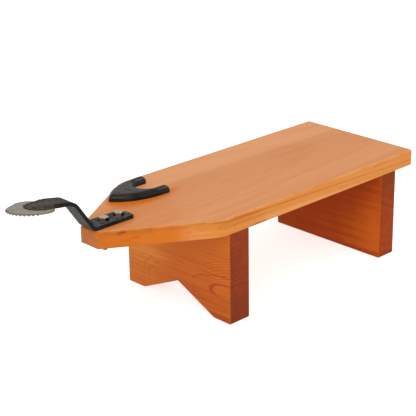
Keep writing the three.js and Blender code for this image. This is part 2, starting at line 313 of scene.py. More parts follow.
def threaded(angle: Array, z: Array, radius: float, pitch: float, depth: float, limit: Array | float = np.inf) -> Array:
    """Rings of a thread: it falls from its crest by a blunt zigzag of the height less the turn.

    Args:
        angle: the angles round the axis.
        z: the rings' heights.
        radius: the crest's radius.
        pitch: the rise in one turn.
        depth: how far the root lies below the crest.
        limit: the largest radius at each height.

    Returns:
        An array of rings x points x 3.
    """
    along = (z[:, None] / pitch - angle[None] / (2 * pi)) % 1
    flank = np.clip(1.35 * np.abs(2 * along - 1) - 0.175, 0, 1)
    return turned(list(zip(np.minimum(radius - depth * flank, np.reshape(limit, (-1, 1))), z)), angle)


def hex_radius(angle: Array, across_flats: float, turn: float) -> Array:
    """Distance to a hexagon's edge: half the width over the cosine of the angle from the nearest flat's middle."""
    from_flat = (angle - radians(turn) + pi / 6) % (pi / 3) - pi / 6
    return across_flats / 2 / np.cos(from_flat)


def hex_angles(turn: float, per_side: int = 12) -> Array:
    """Angles round a hexagon, the same number on each side, with its corners among them."""
    return radians(turn + 30) + np.linspace(0, 2 * pi, 6 * per_side, endpoint=False)


def smooth(share: Array) -> Array:
    """A smooth step: three times the square of the share less twice its cube."""
    return share**2 * (3 - 2 * share)


def box_middle(node: str) -> Array:
    """The middle of a node's box, on the floor."""
    low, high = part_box(node)
    return np.array([(low.x + high.x) / 2, (low.y + high.y) / 2, 0])


def bore(node: str, radius: float, low: float, high: float) -> Piece:
    """The round shape that cuts the hole for a node, between two heights."""
    return stacked("bore", turned([(radius, low), (radius, high)], 48) + box_middle(node))


# Finishes


def tinted(colour: Colour, by: float | Colour) -> Colour:
    """A colour times a number, or times one number for each channel."""
    return tuple(np.multiply(colour, by).tolist())


class Term:
    """A number or vector that a material's nodes work out, written with the usual signs."""

    def __init__(self, sheet: "FinishSheet", socket: bpy.types.NodeSocket) -> None:
        """Keeps the sheet and the output that gives the value."""
        self.sheet, self.socket = sheet, socket

    def math(self, operation: str, other: "Value" = 0.0) -> "Term":
        """One arithmetic step with another value.

        Args:
            operation: the step's name.
            other: the other number or vector.

        Returns:
            The result, which is a vector unless this is a number.
        """
        if self.socket.type == "VALUE":
            return self.sheet.node("ShaderNodeMath", {0: self, 1: other}, operation=operation)
        other = (other,) * 3 if isinstance(other, (int, float)) else other
        return self.sheet.node("ShaderNodeVectorMath", {0: self, 1: other}, operation=operation)

    def __add__(self, other: "Value") -> "Term":
        """The sum."""
        return self.math("ADD", other)

    def __sub__(self, other: "Value") -> "Term":
        """The difference."""
        return self.math("SUBTRACT", other)

    def __mul__(self, other: "Value") -> "Term":
        """The product."""
        return self.math("MULTIPLY", other)

    def __truediv__(self, other: "Value") -> "Term":
        """The quotient."""
        return self.math("DIVIDE", other)

    def __abs__(self) -> "Term":
        """The size without its sign."""
        return self.math("ABSOLUTE")

    def length(self) -> "Term":
        """The length of a vector."""
        return self.sheet.node("ShaderNodeVectorMath", {0: self}, "Value", operation="LENGTH")

    def dot(self, other: "Value") -> "Term":
        """The dot product with another vector."""
        return self.sheet.node("ShaderNodeVectorMath", {0: self, 1: other}, "Value", operation="DOT_PRODUCT")

    def step(self, low: float, high: float, start: float = 0.0, end: float = 1.0) -> "Term":
        """A smooth step from start to end while the value goes from low to high."""
        inputs = {"Value": self, "From Min": low, "From Max": high, "To Min": start, "To Max": end}
        return self.sheet.node("ShaderNodeMapRange", inputs, interpolation_type="SMOOTHSTEP")


Value = float | int | tuple | Term


class FinishSheet:
    """A material with a principled shader, and short calls for the nodes that lead to it."""

    def __init__(self, name: str) -> None:
        """Starts an empty sheet with its shader and the object's own coordinates.

        Args:
            name: the material's name.
        """
        self.material = bpy.data.materials.new(name)
        self.material.use_nodes = True
        self.tree = self.material.node_tree
        self.tree.nodes.clear()
        self.shader = self.tree.nodes.new("ShaderNodeBsdfPrincipled")
        output = self.tree.nodes.new("ShaderNodeOutputMaterial")
        self.tree.links.new(self.shader.outputs[0], output.inputs["Surface"])
        source = self.tree.nodes.new("ShaderNodeTexCoord")
        self.place, self.normal = (Term(self, source.outputs[key]) for key in ("Object", "Normal"))

    def feed(self, socket: bpy.types.NodeSocket, value: Value) -> None:
        """Links a term to a node's input, or sets the input to a plain value.

        Args:
            socket: the input.
            value: the term or plain value.
        """
        if isinstance(value, Term):
            self.tree.links.new(value.socket, socket)
        else:
            socket.default_value = value

    def node(self, kind: str, inputs: dict[int | str, Value], output: int | str = 0, **settings: object) -> Term:
        """Adds a node.

        Args:
            kind: the node's type.
            inputs: the value of each input, by its number or name.
            output: the number or name of the output that is wanted.
            settings: the node's own settings.

        Returns:
            The output.
        """
        made = self.tree.nodes.new(kind)
        for name, value in settings.items():
            setattr(made, name, value)
        for key, value in inputs.items():
            self.feed(made.inputs[key], value)
        return Term(self, made.outputs[output])

    def noise(self, place: Term, noise: Noise, output: int = 0) -> Term:
        """Cloudy noise between 0 and 1, or three of them as a vector from output 1."""
        inputs = dict(zip(("Scale", "Detail", "Roughness"), noise.value), Vector=place)
        return self.node("ShaderNodeTexNoise", inputs, output)

    def mix(self, share: Value, first: Value, second: Value) -> Term:
        """Two colours mixed by a share."""
        first, second = (c if isinstance(c, Term) else (*c, 1.0) for c in (first, second))
        return self.node("ShaderNodeMix", {0: share, 6: first, 7: second}, 2, data_type="RGBA")

    def varied(self, share: Term, colour: Colour, low: float | Colour, high: float | Colour) -> Term:
        """A colour that goes from one multiple of itself to another."""
        return self.mix(share, tinted(colour, low), tinted(colour, high))

    def ramp(self, value: Term, colours: tuple[Colour, Colour, Colour]) -> Term:
        """A colour ramp, eased between its ends and its middle.

        Args:
            value: the number from 0 to 1.
            colours: the colours at 0, 0.5 and 1.

        Returns:
            The colour.
        """
        made = self.tree.nodes.new("ShaderNodeValToRGB")
        made.color_ramp.interpolation = "EASE"
        made.color_ramp.elements.new(0.5)
        for element, place, colour in zip(made.color_ramp.elements, (0.0, 0.5, 1.0), colours):
            element.position, element.color = place, (*colour, 1.0)
        self.feed(made.inputs[0], value)
        return Term(self, made.outputs[0])

    def bump(self, height: Term, depth: float, strength: float = 1.0) -> Term:
        """Raises the shading normal by a height field."""
        return self.node("ShaderNodeBump", {"Height": height, "Distance": depth, "Strength": strength})

    def finish(self, colour: Value, roughness: Value, bump: Term, **others: Value) -> bpy.types.Material:
        """Leads colour, roughness and bump to the shader, and sets its other values.

        Args:
            colour: the base colour.
            roughness: the roughness.
            bump: the shading normal.
            others: values by the shader's socket name, with underscores for spaces.

        Returns:
            The material.
        """
        for name, value in {"Base_Color": colour, "Roughness": roughness, "Normal": bump, **others}.items():
            self.feed(self.shader.inputs[name.replace("_", " ")], value)
        return self.material


@dataclass(frozen=True)
class Oval:
    """An oval seen from above: its middle towards the rear and the far side, and its half sizes."""

    middle: tuple[float, float]
    half: tuple[float, float]

    def reach(self, plan: Array) -> Array:
        """How far out each point lies: the length of its offset over half the oval's size."""
        return np.linalg.norm((plan - np.array(self.middle)) / np.array(self.half), axis=-1)

    def reach_of(self, place: Term) -> Term:
        """The same for a material's place."""
        return ((place - (*self.middle, 0)) * (1 / self.half[0], 1 / self.half[1], 0)).length()


@dataclass(frozen=True)
class Swirl:
    """A place where the grain flows round a knot: its middle, reach, added rings and darkness."""

    middle: Place
    reach: Place
    rings: float
    dark: float = 0.0


@dataclass(frozen=True)
class Streak:
    """A soft-edged band of paler or darker colour along a board, between two values of one direction. Some are the
    wood's own bands and some are painted light and shade.
    """

    direction: Place
    low: float
    high: float
    change: float
    soft: float = 0.004
    facing: Place | None = None


@dataclass(frozen=True)
class Loop:
    """Nested grain lines round a place: its middle, the first line's half sizes, how far they show and how dark.

    The lines start at the hollow, and each further line loses more of its steep ends, as open says.
    """

    middle: Place
    half: Place
    lines: float
    dark: float
    hollow: float = 0.5
    open: float = 0.8


@dataclass(frozen=True)
class Knot:
    """A small dark knot: its middle, half sizes and colour."""

    middle: Place
    half: Place
    colour: Colour


@dataclass(frozen=True)
class SheenGap:
    """An oval of the top beside a fixed piece, up to a far limit, where the painted sheen is left out as a painted
    reflection of that piece, and a deeper colour shows.
    """

    oval: Oval
    share: float
    far: float = 0.2


@dataclass(frozen=True)
class WoodFinish:
    """Varnished wood whose growth rings run through the whole board.

    The ring number is the distance from a leaning pith line over the ring width, pushed about by
    slow noise and by the swirls. Its fraction gives the dark late wood of each ring. Faces that
    cut across the grain take up more varnish and are deeper. Upper edges get a painted highlight
    that also stands for scuffing, lower rims get painted shade, and a top colour gives the top a
    painted sheen.
    """

    name: str
    grain: Grain
    deep: Colour
    middle: Colour
    pale: Colour
    cut: Colour
    end: Colour
    thickness: Place
    pith: Place
    lean: Place
    ring_width: float
    contrast: float
    swirls: tuple[Swirl, ...] = ()
    streaks: tuple[Streak, ...] = ()
    loops: tuple[Loop, ...] = ()
    knots: tuple[Knot, ...] = ()
    # The top's colour: a painted sheen on the upward faces.
    top: Colour | None = None
    # Where the painted sheen gives way to a deeper colour, as a painted reflection of the fixed pieces beside it.
    sheen_gaps: tuple[SheenGap, ...] = ()
    unsheened_colour: Colour = (0.0, 0.0, 0.0)
    cut_fades: tuple[float, float] | None = None
    cloud: float = 0.5
    figure: float = 0.3
    # How strongly the upper edges get the painted highlight, which also stands for scuffing.
    edge_wear_and_highlight: float = 0.5
    gloss: float = 0.4
    specular: float = 0.08

    def build(self) -> bpy.types.Material:
        """Makes the wood's material.

        Returns:
            The material.
        """
        sheet = FinishSheet(self.name)
        along = sheet.place.dot(self.grain.value)
        number, shade = self.rings(sheet, along)
        share = number.math("FRACT")
        strength = sheet.node("ShaderNodeTexWhiteNoise", {"W": number.math("FLOOR")}, noise_dimensions="1D")
        late = (share.step(0.35, 0.93) - share.step(0.94, 1.0)) * (strength * 0.75 + 0.25)
        fibre = self.grained(sheet, Noise.FIBRE, 0.985)
        pores = self.grained(sheet, Noise.PORES, 0.95).step(0.6, 0.75)
        flecks = self.grained(sheet, Noise.FLECKS, 0.9).step(0.6, 0.74)
        figure = self.grained(sheet, Noise.FIGURE, 0.975) - 0.5
        shade = shade + figure * self.figure - late * self.contrast + (fibre - 0.5) * 0.35
        shade = shade - (pores * 0.4).math("MAXIMUM", flecks) * 0.2
        colour = sheet.ramp(shade, (self.deep, self.middle, self.pale))
        facing_end = abs(sheet.normal.dot(self.grain.value))
        cut_share = facing_end.step(0.12, 0.5)
        if self.cut_fades:
            cut_share = cut_share * along.step(*self.cut_fades, 1.0, 0.0)
        colour = sheet.mix(cut_share, colour, sheet.varied(shade * 1.7 - 0.35, self.cut, 0.74, 1.2))
        if self.top:
            # Painted sheen on the top faces.
            colour = self.with_painted_sheen(sheet, colour, shade)
        at_end = facing_end.step(0.75, 0.97)
        colour = sheet.mix(at_end, colour, self.end_grain(sheet, shade, late))
        for knot in self.knots:
            within = sheet.noise(sheet.place, Noise.KNOT) * 1.1 + ((sheet.place - knot.middle) / knot.half).length()
            colour = sheet.mix(within.step(0.7, 1.7, 0.9, 0.0), colour, knot.colour)
        colour = self.edge_wear_and_light(sheet, colour, cut_share)
        rough = fibre * 0.16 + (self.gloss - 0.08) + at_end * 0.15
        height = fibre * 0.7 + late * 0.5 - pores * 0.8
        return sheet.finish(colour, rough, sheet.bump(height, 0.12 * MM, 0.5), Specular_IOR_Level=self.specular)

    def grained(self, sheet: FinishSheet, noise: Noise, drawn: float, output: int = 0) -> Term:
        """A noise drawn out along the grain by a share of its length."""
        return sheet.noise(sheet.place * tuple(1 - drawn * np.array(self.grain.value)), noise, output)

    def rings(self, sheet: FinishSheet, along: Term) -> tuple[Term, Term]:
        """The growth rings.

        Args:
            sheet: the finish sheet.
            along: how far along the grain a place lies.

        Returns:
            The ring number and the slowly varying shade.
        """
        leaning = sheet.node("ShaderNodeVectorMath", {0: self.lean, "Scale": along}, operation="SCALE")
        moved = (self.grained(sheet, Noise.DRIFT, 0.93, 1) - 0.5) * 0.016 + sheet.place + leaning
        across = tuple(1 - np.array(self.grain.value))
        number = ((moved - self.pith) * across).length() / self.ring_width
        shade = self.grained(sheet, Noise.CLOUD, 0.93) * self.cloud + (0.5 - self.cloud / 2)
        for swirl in self.swirls:
            offset = (moved - swirl.middle) / swirl.reach
            spread = sheet.node("ShaderNodeMath", {0: 2.718, 1: offset.dot(offset) * -1.0}, operation="POWER")
            number, shade = number + spread * swirl.rings, shade - spread * swirl.dark
        for streak in self.streaks:
            shade = shade + self.streak_change(sheet, streak, moved)
        for loop in self.loops:
            shade = shade - self.loop_lines(loop, moved)
        return number, shade

    @staticmethod
    def streak_change(sheet: FinishSheet, streak: Streak, moved: Term) -> Term:
        """How much a streak changes the shade: its change times a soft window, on the faces that it is kept to.

        Args:
            sheet: the finish sheet.
            streak: the streak.
            moved: the place, pushed about as the rings are.

        Returns:
            What is added to the shade.
        """
        across = moved.dot(streak.direction)
        inside = (across.step(streak.low - streak.soft, streak.low + streak.soft)
                  * across.step(streak.high - streak.soft, streak.high + streak.soft, 1.0, 0.0))
        if streak.facing:
            inside = inside * sheet.normal.dot(streak.facing).step(0.4, 0.8)
        return inside * streak.change

    @staticmethod
    def loop_lines(loop: Loop, moved: Term) -> Term:
        """How dark a loop's lines are: lines at each whole reach of its oval, which fade with the reach.

        Args:
            loop: the loop.
            moved: the place, pushed about as the rings are.

        Returns:
            What is taken from the shade.
        """
        offset = (moved - loop.middle) / loop.half
        reach = offset.length()
        near_line = abs(reach.math("FRACT") * 2.0 - 1.0)
        line = near_line.step(0.7, 1.0) * reach.step(0.8 * loop.hollow, loop.hollow)
        upper = (offset.dot(UP) + loop.open - reach * loop.open).step(-0.7, 0.3, 0.15, 1.0)
        return line * upper * reach.step(0.8, loop.lines, loop.dark, 0.0)

    def with_painted_sheen(self, sheet: FinishSheet, colour: Term, shade: Term) -> Term:
        """The board's top in a paler tone that is a painted sheen, varying with the grain, less the sheen gaps.

        Args:
            sheet: the finish sheet.
            colour: the colour of the other faces.
            shade: the grain's shade.

        Returns:
            The colour of all faces.
        """
        # The painted sheen: a paler colour that varies with the grain.
        pale = sheet.varied(shade * 1.4 - 0.2, self.top, (0.86, 0.72, 0.5), (1.1, 1.22, 1.4))
        for sheen_gap in self.sheen_gaps:
            # Painted reflection: beside each fixed piece the sheen is left out and a deeper colour shows.
            kept = (sheen_gap.oval.reach_of(sheet.place).step(0.55, 1.1, sheen_gap.share, 0.0)
                    * sheet.place.dot(TO_FAR).step(sheen_gap.far - 8 * MM, sheen_gap.far, 1.0, 0.0))
            pale = sheet.mix(kept, pale, self.unsheened_colour)
        return sheet.mix(sheet.normal.dot(UP).step(0.75, 0.97), colour, pale)

    def end_grain(self, sheet: FinishSheet, shade: Term, late: Term) -> Term:
        """The colour of the ends, with rings, blotches and fine upright cracks.

        Args:
            sheet: the finish sheet.
            shade: the grain's shade.
            late: the late wood of each ring.

        Returns:
            The colour.
        """
        blotch = late * 0.35 + sheet.noise(sheet.place, Noise.END_BLOTCHES).step(0.4, 0.8, 0.0, 0.5)
        cracks = sheet.noise(sheet.place * (1.0, 1.0, 0.14), Noise.CRACKS).step(0.58, 0.7, 0.0, 0.7)
        return sheet.mix(blotch.math("MAXIMUM", cracks), sheet.varied(shade * 1.6 - 0.3, self.end, 0.7, 1.2),
                         tinted(self.end, 0.55))

    def edge_wear_and_light(self, sheet: FinishSheet, colour: Term, cut_share: Term) -> Term:
        """Painted highlight along the upper edges, patchy and also standing for scuffing, and painted shade along the
        lower rims.

        Args:
            sheet: the finish sheet.
            colour: the colour so far.
            cut_share: how much a face cuts across the grain.

        Returns:
            The colour with its edges.
        """
        across, upward = abs(sheet.normal.dot(self.thickness)), sheet.normal.dot(UP)
        edge = across.step(0.18, 0.5) * across.step(0.85, 0.985, 1.0, 0.0)
        # Painted shade: the lower rims are darkened towards the deep colour.
        colour = sheet.mix(edge * upward.step(-0.45, -0.1, 0.6, 0.0), colour, tinted(self.deep, 0.35))
        # Painted highlight on the upper edges, in patches, which also stands for scuffing; it is weaker on faces that
        # cut across the grain.
        highlit = sheet.noise(sheet.place, Noise.EDGE_LIGHT_PATCHES).step(0.3, 0.65)
        edge_wear_and_light = edge * highlit * upward.step(-0.3, -0.05, 0.0, self.edge_wear_and_highlight) * (cut_share * -0.7 + 1.0)
        return sheet.mix(edge_wear_and_light, colour, self.pale)


@dataclass(frozen=True)
class ForgedSteelFinish:
    """Black forge scale, with a head whose plate is ground bright round the tongue.

    Places are turned into the head's own frame. The bright part lies within the rim and outside
    the tongue's oval. It is stained again in a band inside the teeth, and the tips are bright.
    """

    name: str
    scale_colour: Colour
    worn_colour: Colour
    ground_colour: Colour
    tongue_colour: Colour
    blade: "Blade"
    # Ovals where painted highlights of hammer dimples lie on the tongue.
    dent_glints: tuple[Oval, ...]
    plate_colour: Colour = (0.04, 0.042, 0.045)
    # The colour of the painted dimple highlights, and of the brown patch by each bolt.
    brown_patch_colour: Colour = (0.11, 0.08, 0.05)

    def build(self) -> bpy.types.Material:
        """Makes the steel's material.

        Returns:
            The material.
        """
        sheet = FinishSheet(self.name)
        turn = (radians(-self.blade.head_roll), radians(self.blade.head_tilt), 0)
        inputs = {"Vector": sheet.place, "Location": tuple(self.blade.head_middle), "Rotation": turn}
        on_head = sheet.node("ShaderNodeMapping", inputs, vector_type="TEXTURE")
        pits = sheet.noise(sheet.place, Noise.PITS)
        mottles = sheet.noise(sheet.place, Noise.MOTTLES).step(0.35, 0.7, 0.2, 0.85)
        beaten = sheet.noise(on_head * (170.0, 330.0, 100.0), Noise.BEATEN)
        wobble = sheet.noise(sheet.place, Noise.WOBBLE) * 0.16 - 0.08
        rim = self.rim_reach(sheet, on_head)
        tongue = self.blade.tongue.reach_of(on_head) + wobble
        upward = sheet.normal.dot(UP).step(-0.6, -0.1)
        ground = tongue.step(0.985, 1.05) * rim.step(1.03, 1.06, 1.0, 0.0) * upward
        on_tongue = tongue.step(1.0, 1.04, 1.0, 0.0) * upward
        colour = self.on_plate(sheet, sheet.mix(mottles, self.scale_colour, self.worn_colour))
        colour = sheet.mix(on_tongue, colour, self.tongued(sheet, on_head, tongue, rim, wobble, beaten))
        colour = sheet.mix(ground, colour, self.bright(sheet, on_head, rim, wobble))
        colour = sheet.mix(self.margin(sheet, on_head, ground), colour, self.scale_colour)
        height = pits * 0.5 + mottles * 0.35 + beaten * on_tongue * 1.6
        return sheet.finish(colour, pits * 0.25 + 0.38, sheet.bump(height, 0.3 * MM, 0.6),
                            Metallic=ground * 0.2 + 0.05, Specular_IOR_Level=0.09)

    def tongued(self, sheet: FinishSheet, on_head: Term, tongue: Term, rim: Term, wobble: Term, beaten: Term) -> Term:
        """The tongue's colour: beaten, with painted highlights on two hammer dimples, a brown ring and a black far
        side.

        Args:
            sheet: the finish sheet.
            on_head: the place in the head's frame.
            tongue: how far out it lies on the tongue.
            rim: how far out it lies on the head.
            wobble: what makes the outlines uneven.
            beaten: the hammer marks.

        Returns:
            The colour.
        """
        colour = sheet.varied(beaten.step(0.36, 0.68), self.tongue_colour, 0.45, 2.0)
        # Painted highlights where the hammer dimples catch the light.
        for dent_glint in self.dent_glints:
            within = (wobble * 3.0 + dent_glint.reach_of(on_head)).step(0.4, 1.2, 0.75, 0.0)
            colour = sheet.mix(within, colour, tinted(self.brown_patch_colour, 1.2))
        ring = tongue.step(0.74, 0.93) * rim.step(0.9, 0.98, 0.85, 0.0)
        colour = sheet.mix(ring, colour, tinted(self.tongue_colour, (1.15, 0.85, 0.65)))
        aside = tongue.step(0.6, 0.9) * on_head.dot(TO_FAR).step(5.5 * MM, 8.5 * MM, 0.0, 0.95)
        return sheet.mix(aside, colour, self.scale_colour)

    def bright(self, sheet: FinishSheet, on_head: Term, rim: Term, wobble: Term) -> Term:
        """The ground plate's colour: scratched, dull in places and stained in a band inside the teeth.

        Args:
            sheet: the finish sheet.
            on_head: the place in the head's frame.
            rim: how far out it lies on the head.
            wobble: what makes the band uneven.

        Returns:
            The colour.
        """
        scratches = sheet.noise(on_head * (260.0, 900.0, 200.0), Noise.SCRATCHES).step(0.3, 0.7)
        colour = sheet.varied(scratches, self.ground_colour, 0.66, 1.16)
        dull = sheet.noise(sheet.place, Noise.DULL).step(0.45, 0.7, 0.0, 0.5)
        colour = sheet.mix(dull, colour, tinted(self.ground_colour, (0.72, 0.76, 0.72)))
        reach = wobble * 0.2 + rim
        band = reach.step(0.91, 0.935) * reach.step(0.955, 0.99, 1.0, 0.35) * 0.6
        return sheet.mix(band, colour, self.worn_colour)

    def margin(self, sheet: FinishSheet, on_head: Term, ground: Term) -> Term:
        """How black the strap's sides are: its far margin, which is painted shade, its near margin and its upright
        faces behind the head.

        Args:
            sheet: the finish sheet.
            on_head: the place in the head's frame.
            ground: where the head is ground bright, and the far margin ends.

        Returns:
            The share of black.
        """
        half, across, along = self.blade.width / 2, sheet.place.dot(TO_FAR), on_head.dot(TO_REAR)
        sideways = abs(sheet.normal.dot(TO_FAR)).step(0.25, 0.7, 0.0, 0.8)
        reached = along.step(30 * MM, 42 * MM, 3.5 * MM, 0.0)
        # Painted shade: a dark line along the far edge of the strap, wider where it meets the head.
        far = (across + reached).step(half - 2.8 * MM, half - 1.4 * MM, 0.0, 0.95) * (ground * -1.0 + 1.0)
        near = across.step(-half + 0.7 * MM, -half + 1.6 * MM, 0.7, 0.0)
        return far.math("MAXIMUM", near.math("MAXIMUM", sideways) * along.step(17 * MM, 20 * MM))

    def on_plate(self, sheet: FinishSheet, colour: Term) -> Term:
        """The foot plate's colour: cold grey blotches, a painted highlight line inside its near edge, and painted shade
        round the bolts' bases with a brown patch on their front near side.

        Args:
            sheet: the finish sheet.
            colour: the colour ahead of the plate.

        Returns:
            The colour of plate and neck.
        """
        behind_nose = sheet.place.dot(TO_REAR).step(self.blade.nose, self.blade.nose + 3 * MM)
        blotches = sheet.noise(sheet.place, Noise.PLATE_BLOTCHES).step(0.36, 0.66)
        plate = sheet.varied(blotches, self.plate_colour, 0.12, 1.9)
        inside = sheet.place.dot(TO_FAR) + self.blade.width / 2
        # Painted highlight: a lighter line just inside the near edge.
        line = inside.step(1.5 * MM, 2.1 * MM) * inside.step(2.5 * MM, 3.4 * MM, 0.6, 0.0)
        plate = sheet.mix(line, plate, tinted(self.plate_colour, 2.4))
        # Painted contact shade round each bolt's base, with a brown patch on the side towards the front and near side.
        for name in BOLTS:
            offset = (sheet.place - tuple(box_middle(name))) * (1, 1, 0)
            front_near_patch = offset.dot((-0.75, -0.66, 0)).step(3 * MM, 5.5 * MM)
            shade_and_patch = sheet.mix(front_near_patch, self.scale_colour, tinted(self.brown_patch_colour, 1.6))
            plate = sheet.mix(offset.length().step(6.3 * MM, 8 * MM, 0.85, 0.0), plate, shade_and_patch)
        return sheet.mix(behind_nose, colour, plate)

    def rim_reach(self, sheet: FinishSheet, on_head: Term) -> Term:
        """How far out a place lies on the head: the length of its offset over the half oval on its side.

        Args:
            sheet: the finish sheet.
            on_head: the place in the head's frame.

        Returns:
            The reach, which is 1 at the rim.
        """
        offset = on_head - (self.blade.head_widest, 0, 0)
        front, rear = 1 / self.blade.head_front, 1 / self.blade.head_rear
        along = offset.dot(TO_REAR)
        along = along * (along.math("LESS_THAN", 0.0) * (front - rear) + rear)
        across = offset.dot((0, 1 / self.blade.head_half_width, 0))
        return sheet.node("ShaderNodeCombineXYZ", {0: along, 1: across}).length()


@dataclass(frozen=True)
class PaintFinish:
    """Smooth paint or oxide with slow clouds of gloss and a fine orange-peel skin."""

    name: str
    dark: Colour
    light: Colour
    roughness: float
    metallic: float = 0.0
    specular: float = 0.13

    def build(self) -> bpy.types.Material:
        """Makes the paint's material.

        Returns:
            The material.
        """
        sheet = FinishSheet(self.name)
        cloudy = sheet.noise(sheet.place, Noise.PAINT_CLOUD)
        colour = sheet.mix(cloudy.step(0.3, 0.72), self.dark, self.light)
        height = cloudy * 1.5 + sheet.noise(sheet.place, Noise.ORANGE_PEEL)
        return sheet.finish(colour, cloudy * 0.22 + (self.roughness - 0.11), sheet.bump(height, 0.15 * MM, 0.5),
                            Metallic=self.metallic, Specular_IOR_Level=self.specular)


@dataclass(frozen=True)
class PlatedFinish:
    """Yellowish zinc plating whose upright faces get painted shade, except the faces turned forwards and to the near
    side, which get a painted highlight.
    """

    name: str
    bright: Colour
    # The painted shade colour of the upright faces.
    darkened: Colour
    # The painted highlight colour of the upright faces turned the given way.
    highlit: Colour
    # Which way the faces with the painted highlight turn.
    highlit_facing: Place

    def build(self) -> bpy.types.Material:
        """Makes the plating's material.

        Returns:
            The material.
        """
        sheet = FinishSheet(self.name)
        cloudy = sheet.noise(sheet.place, Noise.PLATING)
        # Painted shade: the upright faces darken, as far as the cloudy noise lets them.
        side_shade = (cloudy * 0.3 + abs(sheet.normal.dot(UP))).step(0.45, 0.85, 1.0, 0.0)
        # Painted highlight on the upright faces turned forwards and to the near side.
        side = sheet.mix(sheet.normal.dot(self.highlit_facing).step(0.88, 0.96), self.darkened, self.highlit)
        colour = sheet.mix(side_shade, sheet.varied(cloudy, self.bright, 0.72, 1.0), side)
        return sheet.finish(colour, cloudy * 0.3 + 0.22, sheet.bump(cloudy, 0.08 * MM, 0.5), Metallic=0.75)


# The pieces


def dress(piece: Piece, node: str, finish: bpy.types.Material) -> Piece:
    """Gives a piece its finish, lets it ride on the part and stand for its CAD node.

    Args:
        piece: the finished mesh.
        node: the CAD node that it stands for.
        finish: its material.

    Returns:
        The same piece.
    """
    piece.data.materials.clear()
    piece.data.materials.append(finish)
    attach(piece, "root")
    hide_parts(node)
    log.info("%s stands for %s with %d faces", piece.name, node, len(piece.data.polygons))
    return piece


@dataclass
class Dowels:
    """The glued dowels, which have shallow flutes along them."""

    radius: float = 5 * MM
    chamfer: float = 1 * MM
    clearance: float = 0.3 * MM
    flutes: int = 12
    flute_depth: float = 0.2 * MM
    names: tuple[str, ...] = tuple(f"{leg}_leg_dowel_{i}" for leg in ("front", "rear") for i in (1, 2, 3))

    def holes(self, leg: str) -> list[Piece]:
        """The round shapes that cut the holes of one leg's dowels.

        Args:
            leg: what the dowels' names start with.

        Returns:
            The shapes.
        """
        boxes = {name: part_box(name) for name in self.names if name.startswith(leg)}
        return [bore(name, self.radius + self.clearance, low.z - self.clearance, high.z + self.clearance)
                for name, (low, high) in boxes.items()]

    def make(self, name: str) -> Piece:
        """A dowel: its radius falls by the flute depth times the squared sine of the fluted angle.

        Args:
            name: the dowel's CAD node.

        Returns:
            The dowel.
        """
        low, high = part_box(name)
        angle = np.linspace(0, 2 * pi, 8 * self.flutes, endpoint=False)
        full = self.radius - self.flute_depth * np.sin(angle * self.flutes / 2) ** 2
        levels = [(full - self.chamfer, low.z), (full, low.z + self.chamfer),
                  (full, high.z - self.chamfer), (full - self.chamfer, high.z)]
        return stacked(f"{name}_fluted", turned(levels, angle) + box_middle(name), Ends.DRAWN_IN)

    def build(self, finish: bpy.types.Material) -> None:
        """Makes and dresses every dowel."""
        for name in self.names:
            dress(self.make(name), name, finish)


@dataclass
class Bench:
    """The seat and its two legs."""

    nose_width: float = 29 * MM
    taper_length: float = 116 * MM
    shoulder_radius: float = 36 * MM
    corner_radius: float = 4 * MM
    top_round: float = 3 * MM
    bottom_round: float = 1 * MM
    leg_round: float = 1.5 * MM
    leg_corner: float = 2 * MM
    cut_height: float = 27.5 * MM
    foot_width: float = 27 * MM
    tip_radius: float = 3 * MM
    foot_radius: float = 14 * MM
    dowels: Dowels = field(default_factory=Dowels)

    def seat(self, drilled: list[Piece]) -> Piece:
        """The seat: a board with a tapered front.

        Args:
            drilled: the shapes that are cut out of it.

        Returns:
            The seat.
        """
        low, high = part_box("seat_plank")
        nose, shoulder = self.nose_width / 2, low.x + self.taper_length
        outline = rounded_outline([
            (low.x, -nose, self.corner_radius), (shoulder, low.y, self.shoulder_radius),
            (high.x, low.y, self.corner_radius), (high.x, high.y, self.corner_radius),
            (shoulder, high.y, self.shoulder_radius), (low.x, nose, self.corner_radius)])
        rings = board_rings(outline, high.z - low.z, self.bottom_round, self.top_round)
        rings[..., 2] += low.z
        return reshaped(stacked("tapered_seat", rings), drilled, Change.CUT)

    def leg(self, node: str, corners: list[tuple[float, float, float]]) -> Piece:
        """A leg from its front view, with x as the board's thickness, less its dowel holes.

        Args:
            node: the leg's CAD node.
            corners: y, z and radius of each corner.

        Returns:
            The leg.
        """
        low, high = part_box(node)
        flat = board_rings(rounded_outline(corners), high.x - low.x, self.leg_round, self.leg_round)
        rings = np.stack([flat[..., 2] + low.x, flat[..., 0], flat[..., 1]], -1)
        return reshaped(stacked(f"{node}_board", rings), self.dowels.holes(node), Change.CUT)

    def corners(self, node: str, foot: list[tuple[float, float, float]]) -> list[tuple[float, float, float]]:
        """A leg's corners, from the near one at the top.

        Args:
            node: the leg's CAD node.
            foot: the corners between the two at its foot.

        Returns:
            y, z and radius of each corner.
        """
        low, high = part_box(node)
        return [(low.y, high.z, 0), (low.y, 0, self.leg_corner), *foot, (high.y, 0, self.leg_corner),
                (high.y, high.z, 0)]

    def build(self, finishes: dict[str, bpy.types.Material], drilled: list[Piece]) -> None:
        """Makes and dresses the boards and dowels. The front leg's two feet stand beside an upside-down V.

        Args:
            finishes: the materials by piece.
            drilled: the bolt and screw shapes to cut out of the seat.
        """
        holes = self.dowels.holes("front") + self.dowels.holes("rear")
        dress(self.seat(drilled + holes), "seat_plank", finishes["seat"])
        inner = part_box("front_leg")[1].y - self.foot_width
        cut = [(-inner, 0, self.foot_radius), (0, self.cut_height, self.tip_radius), (inner, 0, self.foot_radius)]
        for node, foot, slot in (("front_leg", cut, Slot.WOOD), ("rear_leg", [], Slot.DARK_WOOD)):
            dress(self.leg(node, self.corners(node, foot)), node, finishes[node])
        self.dowels.build(finishes["dowel"])


